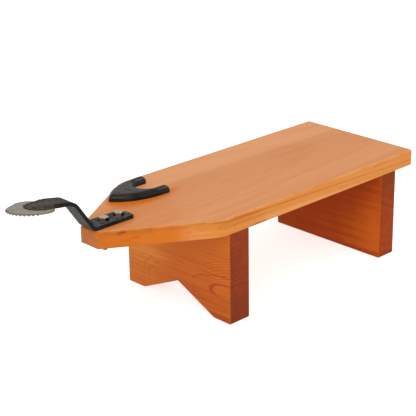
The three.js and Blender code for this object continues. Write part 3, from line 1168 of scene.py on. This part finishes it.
@dataclass
class Blade:
    """The forged blade: a strap bent from the foot plate up the neck, and a thin toothed head."""

    thickness: float = 4.3 * MM
    width: float = 23.4 * MM
    foot_length: float = 55.6 * MM
    bend_behind_nose: float = 0.2 * MM
    foot_bend_inside: float = 6.5 * MM
    neck_lean: float = 55.6
    neck_top: float = 39.3 * MM
    neck_bend_inside: float = 15.5 * MM
    corner_radius: float = 3 * MM
    corner_cut: tuple[float, float] = (8 * MM, 9.5 * MM)
    edge: float = 0.8 * MM
    head_ahead: float = 70.8 * MM
    head_height: float = 45.5 * MM
    head_tilt: float = 5.4
    head_roll: float = 2.0
    head_front: float = 33.25 * MM
    head_rear: float = 18 * MM
    head_widest: float = 3 * MM
    head_half_width: float = 25 * MM
    rim: float = 1.2 * MM
    rim_ease: float = 0.15 * MM
    tongue: Oval = Oval((10.5 * MM, -1.0 * MM), (19.8 * MM, 16.6 * MM))
    tongue_step: float = 0.35 * MM
    hollow: Oval = Oval((1.5 * MM, 0.5 * MM), (7.5 * MM, 5.5 * MM))
    hollow_depth: float = 0.22 * MM
    crown: Oval = Oval((21 * MM, 0.0), (12 * MM, 12.5 * MM))
    crown_lift: float = 0.82 * MM
    strap_end: float = 9.5 * MM
    teeth: int = 16
    toothed_arc: float = 144.0
    tooth_depth: float = 1.7 * MM
    tooth_hook: float = 1.35 * MM
    tooth_edge: float = 0.12 * MM
    bolt_radius: float = 3 * MM
    clearance: float = 0.3 * MM
    crease: float = 28.0

    @property
    def nose(self) -> float:
        """The x of the seat's front."""
        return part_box("seat_plank")[0].x

    @property
    def seat_top(self) -> float:
        """The height of the seat."""
        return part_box("seat_plank")[1].z

    @property
    def head_middle(self) -> Array:
        """The middle of the head."""
        return np.array([self.nose - self.head_ahead, 0, self.seat_top + self.head_height])

    def path(self) -> Array:
        """The strap's middle line in side view: straight runs joined by arcs, a point about every millimetre.

        Returns:
            The distance behind the nose and the height over the seat of each point.
        """
        half = self.thickness / 2
        neck = self.bend_behind_nose - (self.neck_top - half) / tan(radians(self.neck_lean))
        arcs = rounded_outline([
            (self.foot_length, half, 0), (self.bend_behind_nose, half, self.foot_bend_inside + half),
            (neck, self.neck_top, self.neck_bend_inside + half), (-self.head_ahead, self.head_height, 0)], 3.0)
        run = np.concatenate([[0], np.cumsum(np.linalg.norm(np.diff(arcs, axis=0), axis=1))])
        even = np.unique(np.concatenate([run, np.arange(0, run[-1], 1 * MM)]))
        return np.stack([np.interp(even, run, arcs[:, i]) for i in (0, 1)], -1)

    def half_widths(self, x: Array) -> tuple[Array, Array]:
        """How far the strap reaches to each side.

        Near the plate's end the near side follows its corner arc and the far side its cut corner.
        On the head both sides close in a half circle.

        Args:
            x: the distances behind the nose.

        Returns:
            The reach to the near side and to the far side.
        """
        half = self.width / 2
        to_end = self.foot_length - x
        within = np.clip(self.corner_radius - to_end, 0, self.corner_radius)
        near = half - (self.corner_radius - np.sqrt(self.corner_radius**2 - within**2))
        cut_length, cut_width = self.corner_cut
        far = half - cut_width * np.clip((cut_length - to_end) / cut_length, 0, 1)
        past = np.clip(self.strap_end + half - (x + self.head_ahead), 0, half * 0.985)
        closing = np.sqrt(half**2 - past**2)
        return np.minimum(near, closing), np.minimum(far, closing)

    def strap(self) -> Piece:
        """The strap: across each step of the path, a flat top with eased sides over a flat underside.

        Behind the head its top rises by a smooth step to meet the crown, and then sinks into it.

        Returns:
            The strap.
        """
        path = self.path()
        path = path[path[:, 0] > self.strap_end - self.head_ahead]
        along = np.gradient(path, axis=0)
        along /= np.linalg.norm(along, axis=1, keepdims=True)
        up = np.stack([along[:, 1], -along[:, 0]], -1)
        near, far = self.half_widths(path[:, 0])
        half, edge, low_edge = self.thickness / 2, self.edge, 0.5 * MM
        on_head = path[:, 0] + self.head_ahead
        lift = (self.crown_lift * smooth(np.clip((40 * MM - on_head) / (19 * MM), 0, 1))
                - 0.12 * np.clip(21 * MM - on_head, 0, None))
        top = -(near - edge)[:, None] + (near + far - 2 * edge)[:, None] * np.linspace(0, 1, 13)
        across = np.column_stack([-near + low_edge, -near, -near, -near + 0.25 * edge, top, far - 0.25 * edge,
                                  far, far, far - low_edge])
        level = np.full(len(path), half)
        side = [half - edge + lift, half - 0.25 * edge + lift]
        rise = np.column_stack([-level, -level + low_edge, *side, np.repeat((level + lift)[:, None], 13, 1),
                                *side[::-1], -level + low_edge, -level])
        points = np.stack([self.nose + path[:, :1] + up[:, :1] * rise, across,
                           self.seat_top + path[:, 1:] + up[:, 1:] * rise], -1)
        return stacked("strap", self.eased_end(points), crease=self.crease)

    def eased_end(self, rings: Array) -> Array:
        """Rounds the plate's end: the first ring is drawn in by the edge over three small steps.

        Args:
            rings: the strap's rings.

        Returns:
            The rings with three more ahead of them.
        """
        middle = rings[0].mean(0)
        size = np.ptp(rings[0], axis=0)
        angle = np.linspace(pi / 2, 0, 4)[:-1, None, None]
        shrink = 1 - 2 * self.edge * (1 - np.cos(angle)) / np.where(size > 1e-6, size, 1)
        eased = middle + (rings[0] - middle) * shrink
        eased[..., 0] = rings[0, :, 0] - self.edge * (1 - np.sin(angle[..., 0]))
        rings = rings.copy()
        rings[0, :, 0] -= self.edge
        return np.concatenate([eased, rings])

    def head_plan(self, angle: Array, depth: Array | float) -> Array:
        """The head's rim: two half ovals that meet where it is widest.

        Args:
            angle: the angles from its tip.
            depth: how far in the points lie.

        Returns:
            The points.
        """
        reach = np.where(np.cos(angle) > 0, self.head_front, self.head_rear)
        return np.stack([self.head_widest - (reach - depth) * np.cos(angle),
                         -(self.head_half_width - depth) * np.sin(angle)], -1)

    def head_top(self, plan: Array) -> Array:
        """Height of the head's top over its underside.

        The plate thins slightly towards the rim. The tongue steps up at its edge and then rises by
        1 - (1 - s)^1.7 to the strap's thickness, where s is the share of the way from the tongue's
        oval to the crown's. The hollow sinks by a bell of its reach.

        Args:
            plan: the points seen from above.

        Returns:
            The height of each point.
        """
        outside, within = self.crown.reach(plan) - 1, 1 - self.tongue.reach(plan)
        share = np.clip(within, 0, None) / (np.clip(within, 0, None) + np.clip(outside, 0, None) + 1e-9)
        step = self.tongue_step * smooth(np.clip(share / 0.07, 0, 1))
        foot = self.rim + 0.3 * MM * np.clip(1 + within / 0.5, 0, 1)
        risen = (self.thickness - foot - step) * (1 - (1 - share) ** 1.7)
        sunk = self.hollow_depth * np.exp(-self.hollow.reach(plan) ** 2) * np.clip(share / 0.3, 0, 1)
        return foot + step + risen - sunk

    def head(self) -> Piece:
        """The head: rings drawn in from the rim to the middle, raised by head_top, with hooked teeth outside.

        The outermost ring's reach and level swing between tips and valleys by a zigzag of the angle.

        Returns:
            The head.
        """
        arc = radians(self.toothed_arc)
        toothed = np.linspace(-arc / 2, arc / 2, 12 * self.teeth + 1)
        angle = np.concatenate([toothed, np.linspace(arc / 2, 2 * pi - arc / 2, 141)[1:-1]])
        has_teeth = np.abs(angle) <= arc / 2
        zigzag = 1 - np.abs(((angle + arc / 2) / arc * self.teeth) % 1 * 2 - 1)
        zigzag = np.where(has_teeth, np.clip(1.6 * zigzag - 0.4, 0, 1), 0)
        depth = np.where(has_teeth, self.tooth_depth * (1 - zigzag) + self.tooth_edge * zigzag, 0)
        inner = np.where(has_teeth, self.tooth_depth + 0.25 * MM, 0.35 * MM)
        middle, root = np.array([8 * MM, 0]), self.head_plan(angle, inner)
        plans = middle + (root - middle) * np.linspace(0, 1, 38)[1:, None, None] ** 0.9
        rings = [np.dstack([plans, self.head_top(plans)])]
        outer, hook = self.head_plan(angle, depth), self.tooth_hook * zigzag
        upper = self.head_top(root) - self.tooth_edge - hook - np.where(has_teeth, 0, self.rim_ease)
        lower = np.minimum(0.45 * MM * zigzag - hook + 0.1 * MM, upper - 0.2 * MM)
        rings += [np.column_stack([outer, level])[None] for level in (upper, lower)]
        rings += [np.column_stack([middle + (root - middle) * s, 0 * angle])[None] for s in (1.0, 0.5, 0.02)]
        points = self.on_head(np.concatenate(rings) - np.array([0, 0, self.thickness / 2]))
        return stacked("head", points, Ends.DRAWN_IN, self.crease)

    def on_head(self, points: Array) -> Array:
        """Rolls and tilts points of the head's own frame and moves them to its middle."""
        turn = Matrix.Rotation(radians(self.head_tilt), 3, "Y") @ Matrix.Rotation(radians(-self.head_roll), 3, "X")
        return points @ np.array(turn).T + self.head_middle

    def build(self, finish: bpy.types.Material) -> None:
        """Joins strap and head, bores the bolt holes and dresses the blade.

        Args:
            finish: the steel.
        """
        forged = reshaped(self.strap(), [self.head()], Change.ADD, self.crease)
        low, high = self.seat_top - 5 * MM, self.seat_top + 12 * MM
        bores = [bore(name, self.bolt_radius + self.clearance, low, high) for name in BOLTS]
        blade = reshaped(forged, bores, Change.CUT, self.crease)
        blade.name = "forged_blade"
        dress(blade, "scraper_blade", finish)


@dataclass
class Crescent:
    """The black crescent, pillowed on top, with its tip forward and a round-ended notch behind."""

    length: float = 71 * MM
    width: float = 54 * MM
    height: float = 8 * MM
    wall: float = 2.0 * MM
    shoulder: float = 6.1 * MM
    tip_radius: float = 4 * MM
    tip_half_angle: float = 53.0
    prong_radius: float = 5.6 * MM
    inner_radius: float = 5.6 * MM
    notch_width: float = 29 * MM
    notch_depth: float = 30 * MM
    groove: tuple[tuple[float, float], tuple[float, float]] = ((23.7 * MM, 5.4 * MM), (28.5 * MM, -15.0 * MM))
    groove_depth: float = 0.55 * MM
    dimple: Oval = Oval((10.0 * MM, -3.7 * MM), (1.4 * MM, 3.4 * MM))
    dimple_depth: float = 0.35 * MM
    screw_radius: float = 2.5 * MM
    clearance: float = 0.3 * MM
    mesh_step: float = 0.8 * MM
    crease: float = 50.0

    def outline(self) -> Array:
        """Its plan from the tip: a tip arc, a quadratic sweep to each side, round prong ends and a half-round notch.

        Returns:
            The points, anticlockwise, with the tip at the origin.
        """
        half, notch, end = self.width / 2, self.notch_width / 2, self.length
        lean = radians(self.tip_half_angle)
        middle = end - self.notch_depth + notch
        tip = np.linspace(pi / 2, lean, 8)
        arc = self.tip_radius * np.stack([1 - np.sin(tip), np.cos(tip)], -1)
        start = arc[-1]
        bend = np.array([start[0] + (half - start[1]) / tan(lean), half])
        finish = np.array([end - self.prong_radius, half])
        t = np.linspace(0, 1, 60)[1:, None]
        sweep = (1 - t) ** 2 * start + 2 * t * (1 - t) * bend + t**2 * finish
        prong = rounded_outline([(end - half, half, 0), (end, half, self.prong_radius),
                                 (end, notch, self.inner_radius), (middle, notch, 0)], 6.0)[1:-1]
        angle = np.linspace(pi / 2, pi, 24)
        hollow = np.stack([middle + notch * np.cos(angle), notch * np.sin(angle)], -1)
        straight = np.linspace(prong[-1], hollow[0], 12)[1:-1]
        upper = np.concatenate([arc[1:], sweep, prong[1:], straight, hollow])
        return np.concatenate([[[0, 0]], upper[:-1] * [1, -1], upper[::-1]])

    @staticmethod
    def from_edge(points: Array, outline: Array) -> Array:
        """The distance of each point from the nearest stretch of the outline.

        Args:
            points: the points.
            outline: the outline's points.

        Returns:
            The distances.
        """
        edge = np.roll(outline, -1, 0) - outline
        offset = points[:, None] - outline[None]
        share = np.clip((offset * edge).sum(-1) / (edge**2).sum(-1), 0, 1)
        return np.linalg.norm(offset - share[..., None] * edge, axis=-1).min(1)

    @staticmethod
    def inside(points: Array, outline: Array) -> Array:
        """Whether each point lies inside: a ray from it crosses the outline an odd number of times.

        Args:
            points: the points.
            outline: the outline's points.

        Returns:
            True or false for each point.
        """
        first, after = outline, np.roll(outline, -1, 0)
        spans = (first[:, 1] > points[:, None, 1]) != (after[:, 1] > points[:, None, 1])
        slope = (after[:, 0] - first[:, 0]) / np.where(after[:, 1] == first[:, 1], 1, after[:, 1] - first[:, 1])
        crossing = first[:, 0] + (points[:, None, 1] - first[:, 1]) * slope
        return (spans & (points[:, None, 0] < crossing)).sum(1) % 2 == 1

    def rise(self, plan: Array, distance: Array) -> Array:
        """Height of the top: a quarter ellipse over the distance from the edge, less a groove and a dimple.

        Args:
            plan: the points seen from above.
            distance: how far each lies from the edge.

        Returns:
            The height of each point.
        """
        share = np.clip(distance / self.shoulder, 0, 1)
        height = self.wall + (self.height - self.wall) * np.sqrt(1 - (1 - share) ** 2)
        start, end = np.array(self.groove)
        along = np.clip(((plan - start) @ (end - start)) / ((end - start) @ (end - start)), 0, 1)
        from_groove = np.linalg.norm(plan - start - along[:, None] * (end - start), axis=1) / (0.75 * MM)
        groove = self.groove_depth * np.exp(-from_groove**2) * np.sin(pi * (0.12 + 0.76 * along))
        return height - groove - self.dimple_depth * np.exp(-self.dimple.reach(plan) ** 2)

    def plan(self, outline: Array) -> Array:
        """The points that the top is made from: the outline, curves inside it and an even filling.

        Args:
            outline: the outline's points.

        Returns:
            The points, the outline's first.
        """
        steps = self.shoulder * (1 - np.cos(np.linspace(0, pi / 2, 10)[1:]))
        curves = np.concatenate([inset(outline, step) for step in steps])
        curves = curves[self.from_edge(curves, outline) > np.repeat(steps, len(outline)) * 0.985]
        curves = curves[self.inside(curves, outline)]
        across, up = np.meshgrid(np.arange(0, self.length, self.mesh_step),
                                 np.arange(-self.width, self.width, self.mesh_step))
        filling = np.stack([across.ravel(), up.ravel()], -1)
        filling = filling[self.inside(filling, outline)]
        filling = filling[self.from_edge(filling, outline) > self.shoulder * 0.7]
        return np.concatenate([outline, curves, filling])

    def make(self) -> Piece:
        """The crescent: its plan filled with triangles, raised by the distance from its edge, over a flat base.

        Returns:
            The crescent.
        """
        low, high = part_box("crescent_stop")
        outline = self.outline()
        count = len(outline)
        made = delaunay_2d_cdt([Vector(p) for p in self.plan(outline)], [], [list(range(count))], 1, 1e-7)
        flat = np.array([list(v) for v in made[0]])
        distance = self.from_edge(flat, outline)
        top = np.column_stack([flat, self.rise(flat, distance)])
        top[distance < 1e-6, 2] = self.wall
        walls = np.stack([np.column_stack([outline, np.full(count, z)]) for z in (0, self.wall / 2, self.wall)])
        points = np.concatenate([walls.reshape(-1, 3), top]) + [low.x, (low.y + high.y) / 2, low.z]
        faces = ring_faces(3, count) + [list(range(count))] + [[i + 3 * count for i in f] for f in made[2]]
        return closed_piece("black_crescent", points, faces, self.crease)

    def build(self, finish: bpy.types.Material) -> None:
        """Makes the crescent, bores its screw holes and dresses it.

        Args:
            finish: the black paint.
        """
        crescent, bores = self.make(), []
        for name in SCREWS:
            low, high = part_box(name)
            bores.append(bore(name, self.screw_radius + self.clearance, low.z, high.z + self.clearance))
        dress(reshaped(crescent, bores, Change.CUT, self.crease), "crescent_stop", finish)


@dataclass
class Fasteners:
    """The blade's bolts, washers and nuts, and the screws up into the crescent."""

    across_flats: float = 10 * MM
    head_height: float = 4 * MM
    bolt_radius: float = 3 * MM
    bolt_point: tuple[float, float] = (1.2 * MM, 0.9 * MM)
    pitch: float = 1 * MM
    thread_depth: float = 0.45 * MM
    clearance: float = 0.3 * MM
    chamfer_lean: float = 30.0
    ease: float = 0.15 * MM
    washer_ease: float = 0.25 * MM
    nut_chamfers: tuple[float, float] = (0.4 * MM, 0.5 * MM)
    turns: dict[str, float] = field(default_factory=lambda: {
        "blade_bolt_front": 37.0, "blade_bolt_rear": 51.0, "blade_nut_front": 0.0, "blade_nut_rear": 25.0})
    screw_radius: float = 2.5 * MM
    screw_thread: tuple[float, float] = (0.8 * MM, 0.35 * MM)
    screw_head: tuple[float, float] = (4.6 * MM, 2.5 * MM)
    socket: tuple[float, float] = (3 * MM, 1.6 * MM)
    crease: float = 24.0

    def hexagon(self, node: str) -> tuple[Array, Array, float, Array]:
        """A bolt head's or nut's hexagon, whose chamfer falls by its reach past the flats times the lean's tangent.

        Args:
            node: the bolt's or nut's CAD node.

        Returns:
            Its angles, its radius at each, the radius of its round top, and the chamfer's fall at each angle.
        """
        angle = hex_angles(self.turns[node])
        edge, top = hex_radius(angle, self.across_flats, self.turns[node]), 0.95 * self.across_flats / 2
        return angle, edge, top, (edge - top) * tan(radians(self.chamfer_lean))

    def bolt(self, node: str) -> Piece:
        """A bolt: threaded rings up to the head, then the hexagon, its chamfer and its flat top.

        Args:
            node: the bolt's CAD node.

        Returns:
            The bolt.
        """
        low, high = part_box(node)
        angle, edge, top, fall = self.hexagon(node)
        seat = high.z - self.head_height
        z = np.arange(low.z, seat, self.pitch / 8)
        length, drawn = self.bolt_point
        limit = self.bolt_radius - (1 - np.clip((z - low.z) / length, 0, 1)) * drawn
        shank = threaded(angle, z, self.bolt_radius, self.pitch, self.thread_depth, limit)
        head = turned([(self.bolt_radius, seat), (edge - self.ease, seat), (edge, seat + self.ease),
                       (edge, high.z - fall), (top, high.z), (top * 0.94, high.z), (top * 0.5, high.z)], angle)
        rings = np.concatenate([shank, head]) + box_middle(node)
        return stacked(f"{node}_plated", rings, Ends.DRAWN_IN, self.crease)

    def nut(self, node: str) -> Piece:
        """A nut: a hexagon with both chamfers round a bore that just clears the bolt's thread.

        Args:
            node: the nut's CAD node.

        Returns:
            The nut.
        """
        low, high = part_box(node)
        angle, edge, top, fall = self.hexagon(node)
        bored = self.bolt_radius + 0.03 * MM
        wider, deeper = self.nut_chamfers
        rings = turned([(bored, low.z + deeper), (bored + wider, low.z), (top, low.z), (edge, low.z + fall),
                        (edge, high.z - fall), (top, high.z), (bored + wider, high.z), (bored, high.z - deeper)], angle)
        return stacked(f"{node}_plated", rings + box_middle(node), Ends.JOINED, self.crease)

    def washer(self, node: str) -> Piece:
        """A washer: a flat ring with eased rims.

        Args:
            node: the washer's CAD node.

        Returns:
            The washer.
        """
        low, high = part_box(node)
        outer, inner, ease = (high.x - low.x) / 2, self.bolt_radius + self.clearance, self.washer_ease
        rings = turned([(inner, low.z), (outer - ease, low.z), (outer, low.z + ease), (outer, high.z - ease),
                        (outer - ease, high.z), (inner, high.z)], 72)
        return stacked(f"{node}_plated", rings + box_middle(node), Ends.JOINED, self.crease)

    def screw(self, node: str) -> Piece:
        """A countersunk screw: a hexagonal socket, the flat head, its cone and a threaded shank.

        Args:
            node: the screw's CAD node.

        Returns:
            The screw.
        """
        low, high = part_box(node)
        (wide, cone), (flats, depth), ease = self.screw_head, self.socket, 0.1 * MM
        angle = hex_angles(0)
        hexagon = hex_radius(angle, flats, 0)
        z = np.arange(low.z + cone + self.clearance, high.z, self.pitch / 8)
        shank = threaded(angle, z, self.screw_radius, *self.screw_thread)
        head = turned([(hexagon * 0.5, low.z + depth), (hexagon, low.z + depth), (hexagon, low.z + ease),
                       (hexagon + 0.12 * MM, low.z), (wide - ease, low.z), (wide, low.z + ease),
                       (self.screw_radius, low.z + cone)], angle)
        tip = turned([(self.screw_radius - 0.5 * MM, high.z)], angle)
        rings = np.concatenate([head, shank, tip]) + box_middle(node)
        return stacked(f"{node}_socketed", rings, Ends.DRAWN_IN, self.crease)

    def drilled(self) -> list[Piece]:
        """The shapes that the bolts and countersunk screws cut out of the seat.

        Returns:
            The shapes.
        """
        low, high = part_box("seat_plank")
        gap, (wide, cone) = self.clearance, self.screw_head
        below, above = low.z - 5 * MM, high.z + 5 * MM
        sunk = turned([(wide + gap, below), (wide + gap, low.z + gap), (self.screw_radius + gap, low.z + cone + gap),
                       (self.screw_radius + gap, above)], 48)
        return ([bore(node, self.bolt_radius + gap, below, above) for node in BOLTS]
                + [stacked("drill", sunk + box_middle(node)) for node in SCREWS])

    def build(self, plated: bpy.types.Material, blackened: bpy.types.Material) -> None:
        """Makes and dresses every fastener.

        Args:
            plated: the bolts', washers' and nuts' finish.
            blackened: the screws' finish.
        """
        for side in ("front", "rear"):
            for kind, make in (("bolt", self.bolt), ("washer", self.washer), ("nut", self.nut)):
                dress(make(f"blade_{kind}_{side}"), f"blade_{kind}_{side}", plated)
            dress(self.screw(f"crescent_screw_{side}"), f"crescent_screw_{side}", blackened)


# The studio


@dataclass(frozen=True)
class SoftLight:
    """A square lamp aimed at the bench."""

    name: str
    place: Place
    size: float
    power: float

    def build(self) -> None:
        """Hangs the lamp."""
        lamp = bpy.data.lights.new(self.name, "AREA")
        lamp.size, lamp.energy = self.size, self.power
        light = bpy.data.objects.new(self.name, lamp)
        light.location = self.place
        light.rotation_euler = (Vector((0, 0, 0.07)) - light.location).to_track_quat("-Z", "Y").to_euler()
        bpy.context.scene.collection.objects.link(light)


@dataclass(frozen=True)
class Studio:
    """A pale floor, soft lamps and the camera."""

    azimuth: float = -43.4704
    elevation: float = 21.3972
    roll: float = -0.94426
    distance: float = 1.60158
    aim: Place = (0.06093, 0.06093, 0.0711)
    lens: float = 111.79
    sensor: float = 36.0
    sky: float = 0.78
    floor_radius: float = 12.0
    floor_points: int = 96
    floor_colour: Colour = (0.6, 0.6, 0.6)
    glow: float = 0.7
    lamps: tuple[SoftLight, ...] = (
        SoftLight("key", (-1.3, -0.9, 1.5), 1.2, 15.0),
        SoftLight("fill", (0.6, -1.7, 0.9), 1.4, 3.5),
        SoftLight("rear_window", (1.3, -0.2, 1.7), 0.28, 6.5),
    )

    def camera(self) -> None:
        """Sets the camera: its back axis comes from the azimuth and elevation, and its sides from the roll."""
        turn, rise, roll = radians(self.azimuth), radians(self.elevation), radians(self.roll)
        back = Vector((sin(turn) * cos(rise), -cos(turn) * cos(rise), sin(rise)))
        right = (-back).cross(Vector(UP)).normalized()
        up = right.cross(-back)
        across, over = right * cos(roll) + up * sin(roll), up * cos(roll) - right * sin(roll)
        data = bpy.data.cameras.new("photo_camera")
        data.lens, data.sensor_width = self.lens, self.sensor
        data.clip_start, data.clip_end = 0.01, 50.0
        camera = bpy.data.objects.new("photo_camera", data)
        sides = Matrix((across, over, back)).transposed().to_4x4()
        camera.matrix_world = Matrix.Translation(Vector(self.aim) + back * self.distance) @ sides
        bpy.context.scene.collection.objects.link(camera)
        bpy.context.scene.camera = camera

    def floor(self) -> None:
        """Lays a wide plain floor, finely mottled."""
        sheet = FinishSheet("pale_floor")
        speckle = sheet.noise(sheet.place, Noise.FLOOR)
        points = turned([(self.floor_radius, -0.2 * MM)], self.floor_points)[0]
        mesh = bpy.data.meshes.new("floor")
        mesh.from_pydata(points.tolist(), [], [list(range(self.floor_points))])
        mesh.materials.append(sheet.finish(
            sheet.varied(speckle, self.floor_colour, 0.985, 1.0), 0.9, sheet.bump(speckle, 0.01 * MM, 0.1),
            Specular_IOR_Level=0.1, Emission_Color=(1.0, 1.0, 1.0, 1.0), Emission_Strength=self.glow))
        floor = bpy.data.objects.new("floor", mesh)
        bpy.context.scene.collection.objects.link(floor)

    def build(self) -> None:
        """Sets the camera, floor, lamps and sky."""
        self.camera()
        self.floor()
        for lamp in self.lamps:
            lamp.build()
        world = bpy.data.worlds.new("white_room")
        world.use_nodes = True
        sky = world.node_tree.nodes["Background"]
        sky.inputs["Color"].default_value, sky.inputs["Strength"].default_value = (1, 1, 1, 1), self.sky
        bpy.context.scene.world = world
        bpy.context.scene.view_settings.view_transform = "Standard"


SEAT_WOOD = WoodFinish(
    "seat_wood", Grain.ALONG_SEAT,
    deep=(0.42, 0.11, 0.01), middle=(0.57, 0.205, 0.036), pale=(0.7, 0.335, 0.14), cut=(0.445, 0.112, 0.0095),
    end=(0.53, 0.16, 0.036), thickness=UP,
    pith=(0, 0.02, -0.12), lean=(0, 0.02, 0.035), ring_width=6 * MM, contrast=0.12,
    swirls=(Swirl((-0.1125, -0.0535, 0.118), (0.05, 0.03, 0.012), 2.6, -0.1),),
    streaks=(Streak(TO_FAR, 0.043, 0.2, 0.25), Streak(TO_FAR, -0.012, 0.03, -0.06, 0.01),
             Streak(TO_FAR, 0.014, 0.026, -0.05, 0.006), Streak(TO_FAR, -0.07, -0.045, 0.08, 0.01),
             Streak(UP, 0.1, 0.1205, 0.2, 0.003, TO_NEAR), Streak(UP, 0.1265, 0.1285, -0.3, 0.0012, TO_NEAR),
             Streak(TO_REAR, -0.07, 0.0, -0.22, 0.02, TO_NEAR)),
    knots=(Knot((-0.1512, -0.0292, 0.1274), (0.0058, 0.005, 0.0016), (0.22, 0.028, 0.002)),
           Knot((-0.1548, -0.0268, 0.1255), (0.004, 0.004, 0.0019), (0.36, 0.055, 0.006)),
           Knot((-0.1478, -0.0313, 0.1176), (0.0065, 0.006, 0.0017), (0.58, 0.08, 0.001)),
           Knot((-0.1400, -0.0362, 0.1202), (0.008, 0.007, 0.0017), (0.5, 0.08, 0.002)),
           Knot((-0.1560, -0.0260, 0.1128), (0.008, 0.007, 0.0014), (0.6, 0.1, 0.002)),
           Knot((-0.0755, -0.0785, 0.1293), (0.0028, 0.0018, 0.0012), (0.85, 0.62, 0.4)),
           Knot((-0.002, -0.0875, 0.111), (0.02, 0.004, 0.0018), (0.4, 0.075, 0.01))),
    # The top colour is a painted sheen, and the sheen gaps beside the blade and crescent are painted reflection, where
    # a deeper colour shows.
    top=(0.61, 0.245, 0.09), unsheened_colour=(0.58, 0.14, 0.014),
    sheen_gaps=(SheenGap(Oval((-0.11, -0.02), (0.06, 0.05)), 0.22),
              SheenGap(Oval((-0.068, 0.03), (0.058, 0.022)), 1.0, 0.034),
              SheenGap(Oval((-0.094, 0.041), (0.025, 0.021)), 1.0, 0.052),
              SheenGap(Oval((-0.146, -0.004), (0.042, 0.021)), 0.5)),
    cut_fades=(-0.11, -0.06), cloud=0.35, figure=0.38)

FRONT_LEG_WOOD = WoodFinish(
    "front_leg_wood", Grain.ACROSS_SEAT,
    deep=(0.33, 0.052, 0.004), middle=(0.485, 0.113, 0.0085), pale=(0.66, 0.23, 0.035), cut=(0.45, 0.09, 0.009),
    end=(0.255, 0.035, 0.0045), thickness=TO_REAR,
    pith=(-0.1, 0, 0.26), lean=(0.03, 0, 0.05), ring_width=6 * MM, contrast=0.15,
    streaks=(Streak(UP, 0.058, 0.063, -0.1, 0.003), Streak(TO_FAR, 0.02, 0.2, 0.33, 0.03),
             # The last streak is painted shade: a dark line along the foot.
             Streak(UP, -0.1, 0.035, -0.2, 0.02), Streak(UP, -0.1, 0.002, -0.3, 0.0015)),
    loops=(Loop((-0.048, -0.09, 0.031), (0.05, 0.0325, 0.0102), 2.7, 0.78),
           Loop((-0.048, -0.098, -0.026), (0.09, 0.0037, 0.0037), 36.0, 1.7, 22.7),
           Loop((-0.048, 0.042, 0.02), (0.05, 0.0085, 0.012), 3.6, 0.3, 0.8, 0.0)),
    cloud=0.45)

REAR_LEG_WOOD = WoodFinish(
    "rear_leg_wood", Grain.ACROSS_SEAT,
    deep=(0.165, 0.0155, 0.0007), middle=(0.287, 0.037, 0.0014), pale=(0.455, 0.093, 0.0068),
    cut=(0.36, 0.055, 0.006), end=(0.255, 0.036, 0.0035), thickness=TO_REAR,
    pith=(0.33, 0, 0.3), lean=(0.02, 0, 0.05), ring_width=10 * MM, contrast=0.1,
    # These streaks are painted light and shade: paler towards the near side and the foot, darker towards the far side
    # and the top under the seat, a dark line along the foot and a darker top on the near end.
    streaks=(Streak(TO_NEAR, 0.025, 0.2, 0.1, 0.012), Streak(TO_NEAR, 0.05, 0.2, 0.1, 0.012),
             Streak(TO_NEAR, 0.07, 0.2, 0.1, 0.01), Streak(UP, -0.1, 0.05, 0.18, 0.03),
             Streak(TO_NEAR, -0.2, -0.02, -0.1, 0.03), Streak(UP, 0.07, 0.2, -0.1, 0.03),
             Streak(UP, -0.1, 0.002, -0.3, 0.0015), Streak(UP, 0.08, 0.2, -0.3, 0.02, TO_NEAR)),
    cloud=0.35, specular=0.05)

DOWEL_WOOD = WoodFinish(
    "dowel_wood", Grain.UPRIGHT,
    deep=(0.5, 0.3, 0.13), middle=(0.65, 0.44, 0.22), pale=(0.75, 0.56, 0.32), cut=(0.6, 0.4, 0.2),
    end=(0.5, 0.32, 0.16), thickness=UP,
    pith=(0.02, 0.03, 0), lean=(0, 0, 0), ring_width=2.0 * MM, contrast=0.4, edge_wear_and_highlight=0.0, gloss=0.6)


def main() -> None:
    """Builds the grater's classes in order, and its studio first."""
    logging.basicConfig(level=logging.INFO, format="%(message)s")
    Studio().build()
    fasteners, blade = Fasteners(), Blade()
    finishes = {"seat": SEAT_WOOD.build(), "front_leg": FRONT_LEG_WOOD.build(),
                "rear_leg": REAR_LEG_WOOD.build(), "dowel": DOWEL_WOOD.build()}
    Bench().build(finishes, fasteners.drilled())
    steel = ForgedSteelFinish(
        "forged_steel", scale_colour=(0.005, 0.0045, 0.0045), worn_colour=(0.046, 0.035, 0.023),
        ground_colour=(0.295, 0.255, 0.21), tongue_colour=(0.0375, 0.0295, 0.0212), blade=blade,
        # Painted highlights of two hammer dimples on the tongue.
        dent_glints=(Oval((2.0 * MM, 3.0 * MM), (4.5 * MM, 1.1 * MM)), Oval((-4.6 * MM, -2.6 * MM), (2.6 * MM, 1.1 * MM))))
    blade.build(steel.build())
    Crescent().build(PaintFinish("black_paint", (0.009, 0.008, 0.007), (0.027, 0.024, 0.021), 0.2).build())
    # The zinc's upright faces get painted shade, and those turned forwards and to the near side a painted highlight.
    plated = PlatedFinish("yellow_zinc", bright=(0.5, 0.44, 0.31), darkened=(0.012, 0.009, 0.006),
                          highlit=(0.26, 0.17, 0.09), highlit_facing=(-0.79, -0.61, 0))
    blackened = PaintFinish("black_oxide", (0.01, 0.01, 0.01), (0.03, 0.03, 0.032), 0.4, 0.6)
    fasteners.build(plated.build(), blackened.build())


if __name__ == "__main__":
    main()
